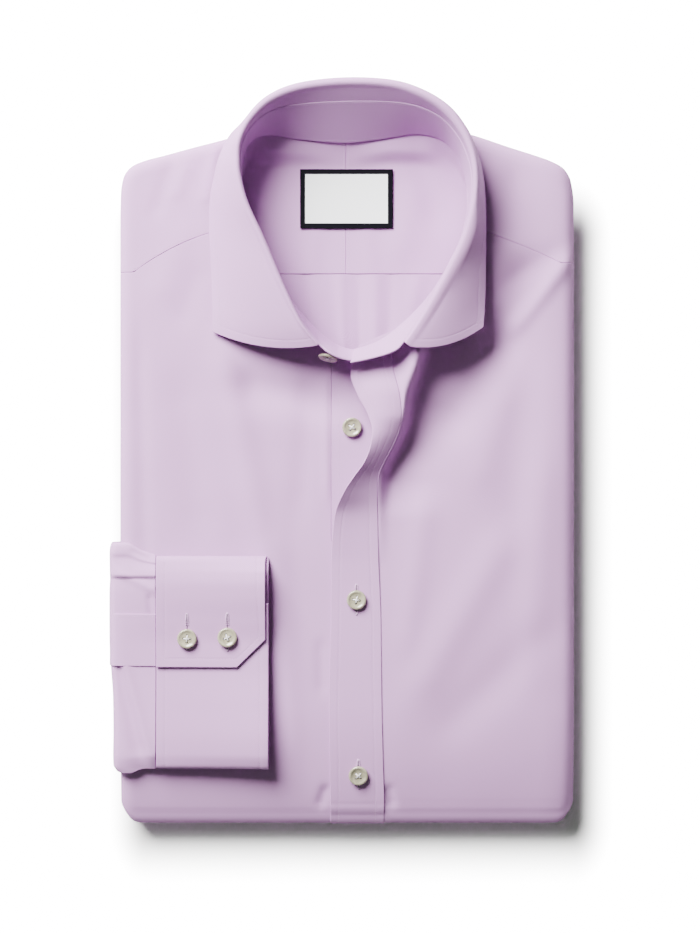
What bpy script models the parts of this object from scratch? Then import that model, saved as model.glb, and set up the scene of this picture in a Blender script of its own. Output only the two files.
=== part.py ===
"""A long sleeve dress shirt, folded flat for the shelf with its front up.

Sizes are in millimetres and turned to metres as each mesh is made. X runs to the viewer's right,
Y from hem fold to collar and Z up from the surface that the shirt lies on. The body is folded in
three lengthwise and then in half at the bottom fold, so the pack is two halves with a slit between.
"""

import math

import bmesh
import bpy
import numpy as np
from mathutils import Matrix, Vector

MM = 0.001

# The folded pack.
FOLD_RADIUS = 14.0
PACK_TOP = 2 * FOLD_RADIUS
HALF_HEIGHT = 12.4
LEFT_EDGE = -129.5
RIGHT_EDGE = 134.9
FOLD_AXIS_Y = -200.0
HEM_Y = 158.0
FOLD_LENGTH = math.pi * FOLD_RADIUS
HEM_RUN = FOLD_LENGTH + HEM_Y - FOLD_AXIS_Y
CORNER_INSET = 4.0

# Cloth and the gap kept between two pieces.
SEAM_GAP = 0.3
CLOTH = 1.4
PLACKET_CLOTH = 1.5
STAND_CLOTH = 1.8
LEAF_CLOTH = 1.5
CUFF_CLOTH = 1.6
SLEEVE_CLOTH = 2.4
LABEL_CLOTH = 1.0
LABEL_SEAT = 0.6

# Where the pieces lie.
BAND_LEFT = -6.4
BAND_RIGHT = 18.0
BAND_BOTTOM_Y = -48.0
YOKE_SPLIT_X = 2.0
YOKE_HEM_Y = 107.0
BACK_END_Y = 63.5
NECK_FLOOR = 22.9
NECK_BACK_TOP = 28.1
NECK_RISE_Y = (173.0, 182.0)
CORE_TOP = PACK_TOP - CLOTH - SEAM_GAP
BASIN_FLOOR = NECK_FLOOR - CLOTH - SEAM_GAP
BASIN_MARGIN = 5.0
BASIN_BACK_Y = 185.0

SHIRT = (0.66, 0.56, 0.68)
LABEL = (0.80, 0.84, 0.87)
BUTTON = (0.66, 0.62, 0.54)

# Section of a folded side edge: inset from the outline, depth below the pack's face.
EDGE_SECTION = [
    (8.0, 0.0),
    (5.0, 0.35),
    (2.4, 1.6),
    (0.7, 3.7),
    (0.0, 6.2),
    (0.7, 8.7),
    (2.4, 10.8),
    (4.6, 12.05),
    (7.5, 12.4),
]

# Collar stand, from the left end round the back to the right end.
# top x, y, z; neck seam x, y, z
STAND_LEFT_END = [
    (5.0, 54.8, 46.0, 6.0, 62.0, 28.9),
    (-1.4, 57.3, 48.5, -1.5, 65.0, 28.9),
    (-6.5, 59.8, 49.8, -7.0, 68.3, 28.9),
]
STAND_RIGHT_END = [
    (31.4, 62.2, 50.2, 24.0, 69.5, 36.3),
    (26.0, 59.6, 50.0, 18.5, 66.5, 36.2),
    (16.5, 57.0, 49.2, 13.5, 64.6, 35.9),
    (8.0, 55.2, 47.6, 9.8, 63.5, 35.6),
]
# Collar where the leaf is sewn on: rim x, y, z; neck seam x, y, z; leaf edge x, y, z;
# share of the height that the stand takes; bow of the leaf
COLLAR = [
    (-13.9, 64.0, 51.5, -15.5, 75.2, 28.8, -75.4, 72.6, 31.5, 0.90, 1.2),
    (-24.0, 76.7, 54.0, -23.5, 83.5, 28.6, -75.6, 86.5, 31.5, 0.86, 1.6),
    (-34.8, 98.2, 56.0, -34.2, 98.5, 28.5, -76.2, 106.5, 31.0, 0.82, 2.0),
    (-45.5, 123.2, 57.5, -45.0, 121.5, 28.5, -77.3, 130.5, 30.8, 0.80, 2.0),
    (-54.6, 143.0, 58.5, -53.8, 141.0, 28.6, -77.0, 149.5, 30.4, 0.78, 2.0),
    (-58.6, 157.2, 59.0, -57.5, 155.0, 28.7, -74.8, 162.0, 30.0, 0.78, 2.0),
    (-59.7, 168.5, 59.5, -58.0, 167.0, 28.9, -71.5, 174.5, 30.3, 0.78, 2.0),
    (-58.6, 179.9, 60.0, -56.3, 177.5, 29.2, -67.2, 188.5, 27.8, 0.78, 2.0),
    (-52.3, 192.3, 60.0, -50.5, 184.5, 29.5, -57.5, 197.5, 20.0, 0.77, 1.5),
    (-41.0, 202.5, 60.0, -41.0, 186.3, 29.7, -44.0, 206.5, 17.5, 0.76, 1.0),
    (-24.0, 208.8, 60.0, -25.0, 184.0, 29.7, -25.5, 211.5, 16.5, 0.75, 1.0),
    (1.5, 211.6, 60.0, 1.8, 182.0, 29.7, 1.5, 213.6, 16.0, 0.75, 1.0),
    (27.0, 210.5, 60.0, 25.0, 184.5, 29.7, 28.5, 212.7, 16.5, 0.75, 1.0),
    (44.0, 205.9, 60.0, 43.0, 187.0, 29.7, 46.5, 208.6, 17.5, 0.76, 1.0),
    (58.2, 198.0, 59.5, 57.5, 183.5, 29.5, 62.0, 201.5, 20.0, 0.77, 1.2),
    (67.8, 186.7, 59.0, 66.0, 174.5, 29.3, 73.2, 191.5, 26.8, 0.77, 1.5),
    (73.5, 174.2, 58.5, 70.5, 163.0, 29.1, 78.6, 177.5, 30.3, 0.77, 2.0),
    (75.8, 160.0, 58.0, 72.3, 152.0, 29.1, 81.0, 163.4, 30.2, 0.77, 2.2),
    (74.6, 143.0, 57.0, 71.0, 137.0, 29.4, 82.4, 147.7, 30.8, 0.77, 2.2),
    (70.1, 126.0, 56.0, 66.3, 122.0, 30.0, 83.0, 130.0, 31.2, 0.78, 2.4),
    (62.2, 109.0, 55.0, 58.5, 107.0, 31.0, 83.1, 113.5, 31.5, 0.80, 2.6),
    (53.1, 92.0, 53.5, 49.2, 93.2, 32.3, 83.0, 98.5, 31.5, 0.82, 2.6),
    (44.0, 76.7, 52.5, 39.0, 82.0, 34.0, 82.6, 86.5, 31.5, 0.86, 2.4),
    (36.0, 65.0, 51.5, 30.0, 74.0, 35.6, 81.8, 75.4, 31.5, 0.90, 1.8),
]
# Stations along the neck seam where pieces start and end.
SHOULDER_LEFT = 6.65
SHOULDER_RIGHT = 21.17
NECK_CENTRE_BACK = 14.0
NECK_LEFT_FRONT = 2.0
NECK_PLACKET = 25.88
INNER_YOKE_STATIONS = 4.9
INNER_SEAM_INSET = 2.3
NECK_CENTRE = np.array((8.0, 130.0))
STAND_DROP = 1.7
ROLL_HALF_WIDTH = 2.8
ROLL_DROP = 2.5

# Pack outline round the shoulders, with the neck seam station each point is lofted from.
# edge x, edge y, station
SHOULDER_OUTLINE = [
    (-129.5, 107.5, 6.65),
    (-129.5, 135.0, 7.3),
    (-129.2, 154.0, 8.0),
    (-127.6, 163.5, 8.4),
    (-123.2, 169.4, 8.7),
    (-116.0, 172.8, 9.0),
    (-104.0, 176.0, 9.5),
    (-88.0, 180.4, 10.0),
    (-62.0, 187.4, 11.0),
    (-38.0, 196.5, 12.4),
    (2.0, 198.5, 14.0),
    (40.0, 197.0, 15.8),
    (76.0, 188.0, 17.0),
    (97.0, 181.0, 18.0),
    (112.0, 176.2, 18.7),
    (122.0, 172.6, 19.0),
    (129.0, 168.6, 19.3),
    (133.2, 161.5, 19.7),
    (134.9, 148.0, 20.4),
    (134.9, 113.0, 21.17),
]
CENTRE_BACK_ROW = 10
LEFT_SHOULDER_BOW = 6.0
RIGHT_SHOULDER_BOW = 1.7

# Placket: y, free edge x and z, seam edge x and z, bow between them
PLACKET = [
    (66.0, 9.6, 34.2, 29.5, 34.3, 0.0),
    (61.0, 7.6, 34.4, 28.4, 34.9, 0.2),
    (56.0, 6.0, 34.9, 28.4, 37.2, 1.4),
    (48.0, 4.6, 35.6, 29.9, 41.0, 2.6),
    (36.0, 8.6, 36.8, 32.8, 43.8, 3.4),
    (25.0, 14.4, 37.4, 33.9, 45.0, 3.8),
    (15.0, 17.1, 36.8, 32.0, 43.8, 3.6),
    (6.0, 15.9, 35.2, 28.2, 40.6, 3.0),
    (-3.0, 12.3, 33.4, 23.6, 36.2, 2.2),
    (-11.0, 6.6, 32.2, 20.5, 33.0, 1.4),
    (-20.0, 0.8, 31.3, 20.2, 31.0, 0.8),
    (-33.0, -4.4, 30.5, 20.4, 30.3, 0.3),
    (-49.0, -6.0, 30.1, 20.7, 30.1, 0.0),
    (-62.0, -6.5, 28.9, 21.0, 28.9, 0.0),
    (-90.0, -6.7, 28.9, 22.2, 28.9, 0.0),
    (-144.0, -7.8, 28.9, 22.8, 28.9, 0.0),
    (-200.0, -7.1, 28.9, 24.3, 28.9, 0.0),
]
PLACKET_PROUD = 0.9

# Ridge where the right-hand front is lifted towards the collar: y, x, z, width of its slope
RIDGE = [
    (110.0, 62.0, 28.2, 18.0),
    (94.0, 57.0, 30.5, 22.0),
    (84.0, 52.5, 34.0, 28.0),
    (74.0, 47.5, 39.0, 32.0),
    (64.0, 45.0, 42.5, 35.0),
    (48.0, 40.5, 44.6, 37.0),
    (36.0, 36.5, 45.4, 37.0),
    (25.0, 35.4, 45.4, 36.0),
    (15.0, 33.4, 44.0, 34.0),
    (6.0, 29.6, 41.0, 31.0),
    (-3.0, 25.0, 36.6, 28.0),
    (-11.0, 22.2, 33.2, 24.0),
    (-20.0, 21.6, 31.0, 20.0),
    (-33.0, 21.4, 29.4, 16.0),
    (-49.0, 21.6, 28.4, 12.0),
    (-62.0, 21.9, 28.0, 10.0),
]

# Cuff and sleeve.
CUFF_LEFT = -107.6
CUFF_RIGHT = -44.4
CUFF_UNDER_RIGHT = -42.6
CUFF_TOP_Y = -56.9
CUFF_BOTTOM_Y = -179.8
CUFF_END_Y = -121.2
CUFF_MITRE_X = -61.0
CUFF_MITRE_Y = -105.0
CUFF_UNDERLAP_Y = -84.0
SLEEVE_EDGE = -133.6
SLEEVE_EDGE_DEPTH = 9.0
SLEEVE_TUCK_X = -121.5
GAUNTLET_TOP_Y = -90.4
GAUNTLET_BOTTOM_Y = -120.7
# Steps of the sleeve's face where its pleats lie: y, height
SLEEVE_STEPS = [
    (-49.0, 0.5),
    (-51.5, 0.9),
    (-56.2, 1.0),
    (-57.4, 0.5),
    (-66.0, 1.3),
    (-68.6, 1.4),
    (-69.8, 0.3),
    (-78.0, 0.5),
    (-90.4, 0.4),
    (-105.0, 0.3),
    (-120.7, 0.3),
    (-140.0, 0.4),
    (-160.0, 0.4),
    (-173.0, 0.3),
    (-181.8, 0.0),
]

# Label: left, right, lower and upper edge.
LABEL_BOX = (-24.7, 29.3, 133.3, 167.8)

# Profile of the folded layers inside a side edge: inset, height
CORE_SIDE = [
    (8.5, 1.7),
    (4.6, 2.3),
    (2.7, 4.1),
    (1.9, 6.2),
    (2.7, 8.3),
    (4.6, 10.1),
    (9.4, 10.7),
    (9.5, 17.2),
    (9.4, 17.3),
    (4.6, 17.9),
    (2.7, 19.7),
    (1.9, 21.8),
    (2.7, 23.9),
    (4.6, 25.7),
    (8.5, CORE_TOP),
]
CORE_UPPER_FROM = 8
CORE_CORNER = 17.0
CORE_FOLD_GAP = 0.7
CORE_HEM_Y = 156.0

# Buttons.
BUTTON_RADIUS = 5.7
BUTTON_HEIGHT = 2.4
BUTTON_HOLE_RADIUS = 0.75
BUTTON_HOLE_OFFSET = 1.35
BUTTON_SIDES = 16
HOLE_SIDES = 6


def clear_scene():
    for thing in list(bpy.data.objects):
        bpy.data.objects.remove(thing, do_unlink=True)


def finish(name, colour, roughness):
    made = bpy.data.materials.new(name)
    made.use_nodes = True
    shader = made.node_tree.nodes["Principled BSDF"]
    shader.inputs["Base Color"].default_value = (*colour, 1.0)
    shader.inputs["Roughness"].default_value = roughness
    shader.inputs["Metallic"].default_value = 0.0
    made.diffuse_color = (*colour, 1.0)
    return made


def add_mesh(name, points, faces, colour=SHIRT, roughness=0.85):
    """A closed mesh in metres from millimetre points, its faces turned outwards."""
    shape = bmesh.new()
    corners = [shape.verts.new(Vector(point) * MM) for point in points]
    for face in faces:
        shape.faces.new([corners[index] for index in face])
    bmesh.ops.recalc_face_normals(shape, faces=shape.faces)
    mesh = bpy.data.meshes.new(name)
    shape.to_mesh(mesh)
    shape.free()
    mesh.materials.append(finish(name, colour, roughness))
    mesh.shade_smooth()
    mesh.set_sharp_from_angle(angle=math.radians(40))
    made = bpy.data.objects.new(name, mesh)
    bpy.context.scene.collection.objects.link(made)
    return made


def ease(value):
    """Smooth step from 0 to 1."""
    held = min(max(value, 0.0), 1.0)
    return held * held * (3 - 2 * held)


def lookup(table, value, column):
    """A column of a table read at a value of its first column, with straight runs between rows."""
    rows = sorted(table)
    keys = [row[0] for row in rows]
    return float(np.interp(value, keys, [row[column] for row in rows]))


def smooth_row(table, place):
    """The table's row at a fractional index, on a smooth curve through the rows."""
    rows = np.array(table, float)
    last = len(rows) - 1
    start = min(int(math.floor(place)), last - 1)
    t = place - start
    before, here, there, after = (rows[min(max(start + step, 0), last)] for step in (-1, 0, 1, 2))
    bend = 2 * before - 5 * here + 4 * there - after
    twist = 3 * (here - there) + after - before
    return 0.5 * (2 * here + (there - before) * t + bend * t * t + twist * t ** 3)


def grid_normals(grid):
    """Unit normals of a grid of points, from the steps across and along it."""
    normals = np.cross(np.gradient(grid, axis=1), np.gradient(grid, axis=0))
    return normals / np.linalg.norm(normals, axis=2, keepdims=True)


def sheet_faces(rows, columns):
    """Faces of a closed wall: an outer grid, an inner grid after it, and the strip round their edges."""
    inner = rows * columns
    faces = []
    for r in range(rows - 1):
        for c in range(columns - 1):
            a = r * columns + c
            quad = (a, a + 1, a + columns + 1, a + columns)
            faces.append(quad)
            faces.append(tuple(inner + index for index in reversed(quad)))
    border = [c for c in range(columns - 1)]
    border += [r * columns + columns - 1 for r in range(rows - 1)]
    border += [(rows - 1) * columns + c for c in range(columns - 1, 0, -1)]
    border += [r * columns for r in range(rows - 1, 0, -1)]
    for here, there in zip(border, border[1:] + border[:1]):
        faces.append((there, here, inner + here, inner + there))
    return faces


def add_wall(name, grid, thickness, face=1.0, colour=SHIRT):
    """A wall of cloth: the grid is its outer face, and face is -1 where the grid's normals point in."""
    outer = np.array(grid, float)
    inner = outer - face * thickness * grid_normals(outer)
    points = np.concatenate([outer.reshape(-1, 3), inner.reshape(-1, 3)])
    return add_mesh(name, points, sheet_faces(*outer.shape[:2]), colour)


def folded(x, run, depth):
    """A point at a depth under the pack's face, where run is the way past the bottom fold's axis."""
    if run <= 0:
        return (x, FOLD_AXIS_Y - run, PACK_TOP - depth)
    if run < FOLD_LENGTH:
        turn = run / FOLD_RADIUS
        reach = FOLD_RADIUS - depth
        return (x, FOLD_AXIS_Y - reach * math.sin(turn), FOLD_RADIUS + reach * math.cos(turn))
    return (x, FOLD_AXIS_Y + run - FOLD_LENGTH, depth)


def fold_runs():
    """Runs of the rows round the bottom fold and along the underside to the hem."""
    turns = [FOLD_LENGTH * step / 8 for step in range(1, 9)]
    return turns + [FOLD_LENGTH + 120.0, FOLD_LENGTH + 240.0, HEM_RUN]


def corner_inset(run):
    """How far the side edge draws in round the bottom fold."""
    if run <= 0 or run >= FOLD_LENGTH:
        return 0.0
    return CORNER_INSET * math.sin(run / FOLD_RADIUS) ** 2


def neck_table():
    """Neck seam x, y, z of every collar station, from the left end to the right end."""
    return [row[3:6] for row in STAND_LEFT_END + COLLAR + STAND_RIGHT_END]


def neck_point(place):
    return smooth_row(neck_table(), place)


def edge_row(inner, edge, outward, columns, bow, height):
    """One row of a front or yoke: from its seam across the flat, then round the folded edge."""
    reach = float((edge - inner[:2]) @ outward)
    tight = min((reach - 1.0) / EDGE_SECTION[0][0], 1.0)
    flat_end = edge - outward * EDGE_SECTION[0][0] * tight
    row = []
    for column in range(columns):
        share = (column / columns) ** 1.15
        x, y = inner[:2] + (flat_end - inner[:2]) * share
        y += bow * 4 * share * (1 - share)
        row.append(folded(x, FOLD_AXIS_Y - y, PACK_TOP - height(x, y, share)))
    for inset, depth in EDGE_SECTION:
        x, y = edge - outward * inset * tight
        row.append(folded(x, FOLD_AXIS_Y - y, depth))
    return row


def run_row(inner_x, edge_x, side, run, columns, rise=0.0):
    """One row of a front where it goes round the bottom fold or along the underside."""
    edge_x -= side * corner_inset(run)
    flat_end = edge_x - side * EDGE_SECTION[0][0]
    row = []
    for column in range(columns):
        share = (column / columns) ** 1.15
        row.append(folded(inner_x + (flat_end - inner_x) * share, run, -rise))
    for inset, depth in EDGE_SECTION:
        row.append(folded(edge_x - side * inset, run, depth))
    return row


def seam_height(station, share, reach):
    """Height of a panel near the neck: just under the stand at its seam, then down to the pack."""
    seam = neck_point(station)[2]
    lift = max(seam - STAND_CLOTH * 0.55 - SEAM_GAP - PACK_TOP, 0.0)
    return PACK_TOP + lift * (1 - ease(share * reach))


def placket_free_x(y):
    return lookup(PLACKET, y, 1)


def placket_seam_x(y):
    """X of the right-hand front beside the placket, clear of the placket's tilted edge."""
    _, free_x, free_z, seam_x, seam_z, bow = (lookup(PLACKET, y, column) for column in range(6))
    slope = max((seam_z - free_z - 4 * bow) / (seam_x - free_x), 0.0)
    return seam_x + 0.5 + PLACKET_CLOTH * slope / math.hypot(slope, 1.0)


def front_left():
    columns = 8
    outward = np.array((-1.0, 0.0))
    grid = []
    neck_rows = 8
    for index in range(neck_rows + 1):
        part = index / neck_rows
        station = SHOULDER_LEFT + (NECK_LEFT_FRONT - SHOULDER_LEFT) * part
        inner = neck_point(station)
        edge = np.array((LEFT_EDGE, 107.1 - 52.0 * part))
        if index == 0:
            inner = inner - np.array((0.0, 0.3, 0.0))
        bow = LEFT_SHOULDER_BOW * (1 - part) ** 2
        grid.append(
            edge_row(inner, edge, outward, columns, bow, lambda x, y, t: seam_height(station, t, 6.0))
        )
    for y in (40.0, 10.0, -20.0, -49.0, -62.0, -90.0, -144.0, FOLD_AXIS_Y):
        inner_x = BAND_LEFT - 0.5 if y > BAND_BOTTOM_Y - 2.0 else placket_free_x(y) - 0.4
        grid.append(run_row(inner_x, LEFT_EDGE, -1.0, FOLD_AXIS_Y - y, columns))
    for run in fold_runs():
        grid.append(run_row(placket_free_x(FOLD_AXIS_Y) - 0.4, LEFT_EDGE, -1.0, run, columns))
    return add_wall("front_left", grid, CLOTH)


def button_band():
    """The strip that carries the buttons, up to where the placket lies flat over it."""
    grid = []
    for index in range(8):
        part = index / 7
        row = []
        for step in range(4):
            x = BAND_LEFT + (BAND_RIGHT - BAND_LEFT) * step / 3
            start = np.interp(x, (-7.0, -1.5, 6.0, 18.0), (68.0, 64.8, 61.8, 60.0))
            y = start + (BAND_BOTTOM_Y - start) * part
            row.append((x, y, PACK_TOP))
        grid.append(row)
    return add_wall("button_band", grid, CLOTH, face=-1.0)


def ridge_height(x, y, seam_x, seam_z):
    """Height of the right-hand front between the placket seam, the ridge and the flat pack."""
    ridge_x = max(lookup(RIDGE, y, 1), seam_x + 0.6)
    ridge_z = max(lookup(RIDGE, y, 2), PACK_TOP)
    width = lookup(RIDGE, y, 3)
    if x <= ridge_x:
        return seam_z + (ridge_z - seam_z) * ease((x - seam_x) / (ridge_x - seam_x))
    share = min((x - ridge_x) / width, 1.0)
    slope = (0.5 * (1 + math.cos(math.pi * share))) ** 1.35
    return PACK_TOP + (ridge_z - PACK_TOP) * slope


def right_row(inner, edge_y, columns, bow):
    """One row of the right-hand front, with its points drawn together at the ridge."""
    seam_x, seam_y, seam_z = inner
    flat_end = RIGHT_EDGE - EDGE_SECTION[0][0]
    row = []
    for column in range(columns):
        share = (column / columns) ** 1.7
        x = seam_x + (flat_end - seam_x) * share
        y = seam_y + (edge_y - seam_y) * share + bow * 4 * share * (1 - share)
        row.append((x, y, ridge_height(x, y, seam_x, seam_z)))
    for inset, depth in EDGE_SECTION:
        row.append((RIGHT_EDGE - inset, edge_y, PACK_TOP - depth))
    return row


def front_right():
    columns = 14
    grid = []
    neck_rows = 9
    for index in range(neck_rows + 1):
        part = index / neck_rows
        station = SHOULDER_RIGHT + (NECK_PLACKET - SHOULDER_RIGHT) * part
        inner = neck_point(station)
        inner[2] = PACK_TOP + max(inner[2] - STAND_DROP - PACK_TOP, 0.0)
        if index == 0:
            inner[1] -= 0.3
        bow = RIGHT_SHOULDER_BOW * (1 - part) ** 2
        grid.append(right_row(inner, 112.6 - 44.0 * part, columns, bow))
    for y in (58.0, 48.0, 36.0, 25.0, 15.0, 6.0, -3.0, -11.0, -20.0, -33.0, -49.0, -62.0, -90.0, -144.0):
        seam_z = min(lookup(PLACKET, y, 4), lookup(RIDGE, y, 2))
        inner = (placket_seam_x(y), y, max(seam_z, PACK_TOP))
        edge_y = y if y < -20.0 else y + 8.0 * (y + 20.0) / 78.0
        grid.append(right_row(inner, edge_y, columns, 0.0))
    seam_x = placket_seam_x(FOLD_AXIS_Y)
    for run in [0.0] + fold_runs():
        row = []
        edge_x = RIGHT_EDGE - corner_inset(run)
        flat_end = edge_x - EDGE_SECTION[0][0]
        for column in range(columns):
            row.append(folded(seam_x + (flat_end - seam_x) * (column / columns) ** 1.7, run, 0.0))
        for inset, depth in EDGE_SECTION:
            row.append(folded(edge_x - inset, run, depth))
        grid.append(row)
    return add_wall("front_right", grid, CLOTH, face=-1.0)


def placket():
    """The buttonhole strip: turned up towards the collar, then flat to the fold and under it."""
    columns = 6
    grid = []
    for y, free_x, free_z, seam_x, seam_z, bow in PLACKET:
        row = []
        for column in range(columns + 1):
            share = column / columns
            x = free_x + (seam_x - free_x) * share
            slant = 7.6 * share * ease((y - 48.0) / 18.0)
            start = -1.4 * (1 - share) * ease((y - 58.0) / 8.0)
            z = free_z + (seam_z - free_z) * share + bow * 4 * share * (1 - share)
            row.append((x, y + slant + start, z))
        grid.append(row)
    free_x, seam_x = PLACKET[-1][1], PLACKET[-1][3]
    for run in fold_runs():
        proud = PLACKET_PROUD * (1 - ease(run / FOLD_LENGTH))
        xs = np.linspace(free_x, seam_x, columns + 1)
        grid.append([folded(x, run, -proud) for x in xs])
    return add_wall("placket", grid, PLACKET_CLOTH, face=-1.0)


def yoke_row(index, shift):
    """Neck station, pack edge and outward direction of one row of the outer yoke."""
    table = np.array([row[:2] for row in SHOULDER_OUTLINE])
    ahead = table[min(index + 1, len(table) - 1)]
    behind = table[max(index - 1, 0)]
    along = ahead - behind
    outward = np.array((-along[1], along[0])) / np.hypot(*along)
    if index == 0:
        outward = np.array((-1.0, 0.0))
    if index == len(table) - 1:
        outward = np.array((1.0, 0.0))
    if index == CENTRE_BACK_ROW:
        outward = np.array((0.0, 1.0))
    edge = table[index] + np.array(shift)
    return SHOULDER_OUTLINE[index][2], edge, outward


def outer_yoke(name, rows, centre_shift, bow_row, bow):
    columns = 6
    grid = []
    for index in rows:
        shift = (centre_shift, 0.0) if index == CENTRE_BACK_ROW else (0.0, 0.0)
        station, edge, outward = yoke_row(index, shift)
        inner = neck_point(station) + np.array((shift[0], 0.0, 0.0))
        bend = bow * (1 - abs(index - bow_row) / 3) if abs(index - bow_row) < 3 else 0.0
        grid.append(edge_row(inner, edge, outward, columns, bend, lambda x, y, t: PACK_TOP))
    return add_wall(name, grid, CLOTH, face=-1.0)


def inner_height(y):
    """Height of the inside of the yoke and back, seen through the neck."""
    low, high = NECK_RISE_Y
    return NECK_FLOOR + (NECK_BACK_TOP - NECK_FLOOR) * ease((y - low) / (high - low))


def neck_side(y, side):
    """X of the neck seam at a y, on the left (-1) or right (1) side."""
    places = np.arange(0, 11.01, 0.25) if side < 0 else np.arange(17.0, 30.01, 0.25)
    points = np.array([neck_point(place) for place in places])
    order = np.argsort(points[:, 1])
    return float(np.interp(y, points[order, 1], points[order, 0]))


def inner_seam_point(place):
    """A point just inside the neck seam, in plan."""
    point = neck_point(place)[:2]
    towards = NECK_CENTRE - point
    return point + INNER_SEAM_INSET * towards / np.hypot(*towards)


def inner_yoke(name, side, from_x):
    """Half of the inner yoke: its hem, the neck seam it is sewn to and its side under the fronts."""
    columns = 6
    rows = 9
    last = NECK_CENTRE_BACK + side * INNER_YOKE_STATIONS
    side_top = neck_point(last)[1]
    grid = []
    for r in range(rows + 1):
        up = r / rows
        row = []
        for c in range(columns + 1):
            across = c / columns
            hem_x = from_x + (neck_side(YOKE_HEM_Y, side) + 4.0 * side - from_x) * across
            hem = np.array((hem_x, YOKE_HEM_Y))
            place = NECK_CENTRE_BACK + (last - NECK_CENTRE_BACK) * across
            top = inner_seam_point(place)
            top[0] += (from_x - top[0]) * (1 - across) ** 4
            point = hem + (top - hem) * up
            if c == columns:
                y = YOKE_HEM_Y + (side_top - YOKE_HEM_Y) * up
                margin = 4.0 - 5.1 * ease((y - 145.0) / (side_top - 145.0))
                point = np.array((neck_side(y, side) + margin * side, y))
            row.append((point[0], point[1], inner_height(point[1])))
        grid.append(row)
    return add_wall(name, grid, CLOTH, face=side)


def back_inner():
    """The inside of the back below the yoke, down to the front of the neck."""
    grid = []
    for y in np.linspace(YOKE_HEM_Y - SEAM_GAP, BACK_END_Y, 7):
        left = neck_side(y, -1) - 3.5
        right = neck_side(y, 1) + 3.5
        grid.append([(x, y, NECK_FLOOR) for x in np.linspace(left, right, 7)])
    return add_wall("back_inner", grid, CLOTH, face=-1.0)


def neck_label():
    """The bare label, moved out from the inner yoke that it lies on."""
    left, right, lower, upper = LABEL_BOX
    grid = []
    for y in np.linspace(upper, lower, 5):
        height = inner_height(y) + LABEL_SEAT + LABEL_CLOTH
        grid.append([(x, y, height) for x in np.linspace(left, right, 3)])
    return add_wall("neck_label", grid, LABEL_CLOTH, face=-1.0, colour=LABEL)


def rim_outward(place):
    """Level direction out of the collar, square to its rim."""
    step = 0.3
    ahead = smooth_row(COLLAR, min(place + step, len(COLLAR) - 1))[:2]
    behind = smooth_row(COLLAR, max(place - step, 0))[:2]
    along = (ahead - behind) / np.hypot(*(ahead - behind))
    return np.array((-along[1], along[0], 0.0))


def stand_line(place):
    """Neck seam, inner rim and the share that the stand takes, at a station of the collar leaf."""
    row = smooth_row(COLLAR, place)
    rim, seam, share = row[0:3], row[3:6], row[9]
    inner_rim = rim - ROLL_HALF_WIDTH * rim_outward(place)
    inner_rim[2] -= ROLL_DROP
    return seam, inner_rim, share


def collar_stand():
    grid = []
    steps = 5

    def strip(seam, top):
        return [tuple(seam + (top - seam) * step / (steps - 1)) for step in range(steps)]

    for row in STAND_LEFT_END:
        grid.append(strip(np.array(row[3:6]), np.array(row[0:3])))
    for place in np.arange(0, len(COLLAR) - 0.5, 0.5):
        seam, inner_rim, share = stand_line(place)
        grid.append(strip(seam, seam + share * (inner_rim - seam)))
    for row in STAND_RIGHT_END:
        grid.append(strip(np.array(row[3:6]), np.array(row[0:3])))
    return add_wall("collar_stand", grid, STAND_CLOTH, face=-1.0)


def leaf_section(place):
    """Outer face of the collar leaf at a station: up inside, over the rim and down to its edge."""
    row = smooth_row(COLLAR, place)
    rim, edge, bow = row[0:3], row[6:9], row[10]
    out = rim_outward(place)
    up = np.array((0.0, 0.0, 1.0))
    seam, inner_rim, share = stand_line(place)
    slope = inner_rim - seam
    start = seam + share * slope + slope / np.linalg.norm(slope) * (SEAM_GAP + 0.05)
    outer_rim = rim + ROLL_HALF_WIDTH * out - ROLL_DROP * up
    section = [start, 0.5 * (start + inner_rim), inner_rim]
    section.append(rim - 1.6 * out - 0.75 * up)
    section.append(rim)
    section.append(rim + 1.6 * out - 0.75 * up)
    section.append(outer_rim)
    fall = edge - outer_rim
    level = np.array((fall[0], fall[1], 0.0))
    level = level / max(np.linalg.norm(level), 1.0)
    swell = level * -fall[2] + up * np.hypot(fall[0], fall[1])
    swell = swell / np.linalg.norm(swell)
    columns = 6
    for column in range(1, columns + 1):
        share = column / columns
        section.append(outer_rim + fall * share + swell * bow * 4 * share * (1 - share))
    return section


def collar_leaf():
    grid = [leaf_section(place) for place in np.arange(0, len(COLLAR) - 0.5, 0.5)]
    return add_wall("collar_leaf", grid, LEAF_CLOTH, face=-1.0)


def cuff_section(end_y):
    """The cuff's strip in Y and Z: from the end that shows, over the top fold and back under it."""
    base = PACK_TOP + SEAM_GAP + CUFF_CLOTH
    under = base + SEAM_GAP + CUFF_CLOTH
    top = under + SEAM_GAP + CUFF_CLOTH
    outer = 0.5 * (top - (PACK_TOP + SEAM_GAP))
    inner = 0.5 * (under - (PACK_TOP + SEAM_GAP))
    section = [(end_y + (CUFF_TOP_Y - outer - end_y) * step / 5, top) for step in range(5)]
    for step in range(7):
        turn = math.pi * step / 6
        section.append(
            (CUFF_TOP_Y - outer + outer * math.sin(turn), top - outer + outer * math.cos(turn))
        )
    low = PACK_TOP + SEAM_GAP
    span = CUFF_BOTTOM_Y + inner - (CUFF_TOP_Y - outer)
    section += [(CUFF_TOP_Y - outer + span * step / 5, low) for step in range(1, 5)]
    for step in range(7):
        turn = math.pi * step / 6
        section.append(
            (CUFF_BOTTOM_Y + inner - inner * math.sin(turn), low + inner - inner * math.cos(turn))
        )
    reach = CUFF_UNDERLAP_Y - (CUFF_BOTTOM_Y + inner)
    section += [(CUFF_BOTTOM_Y + inner + reach * step / 4, under) for step in range(1, 5)]
    return section


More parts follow.
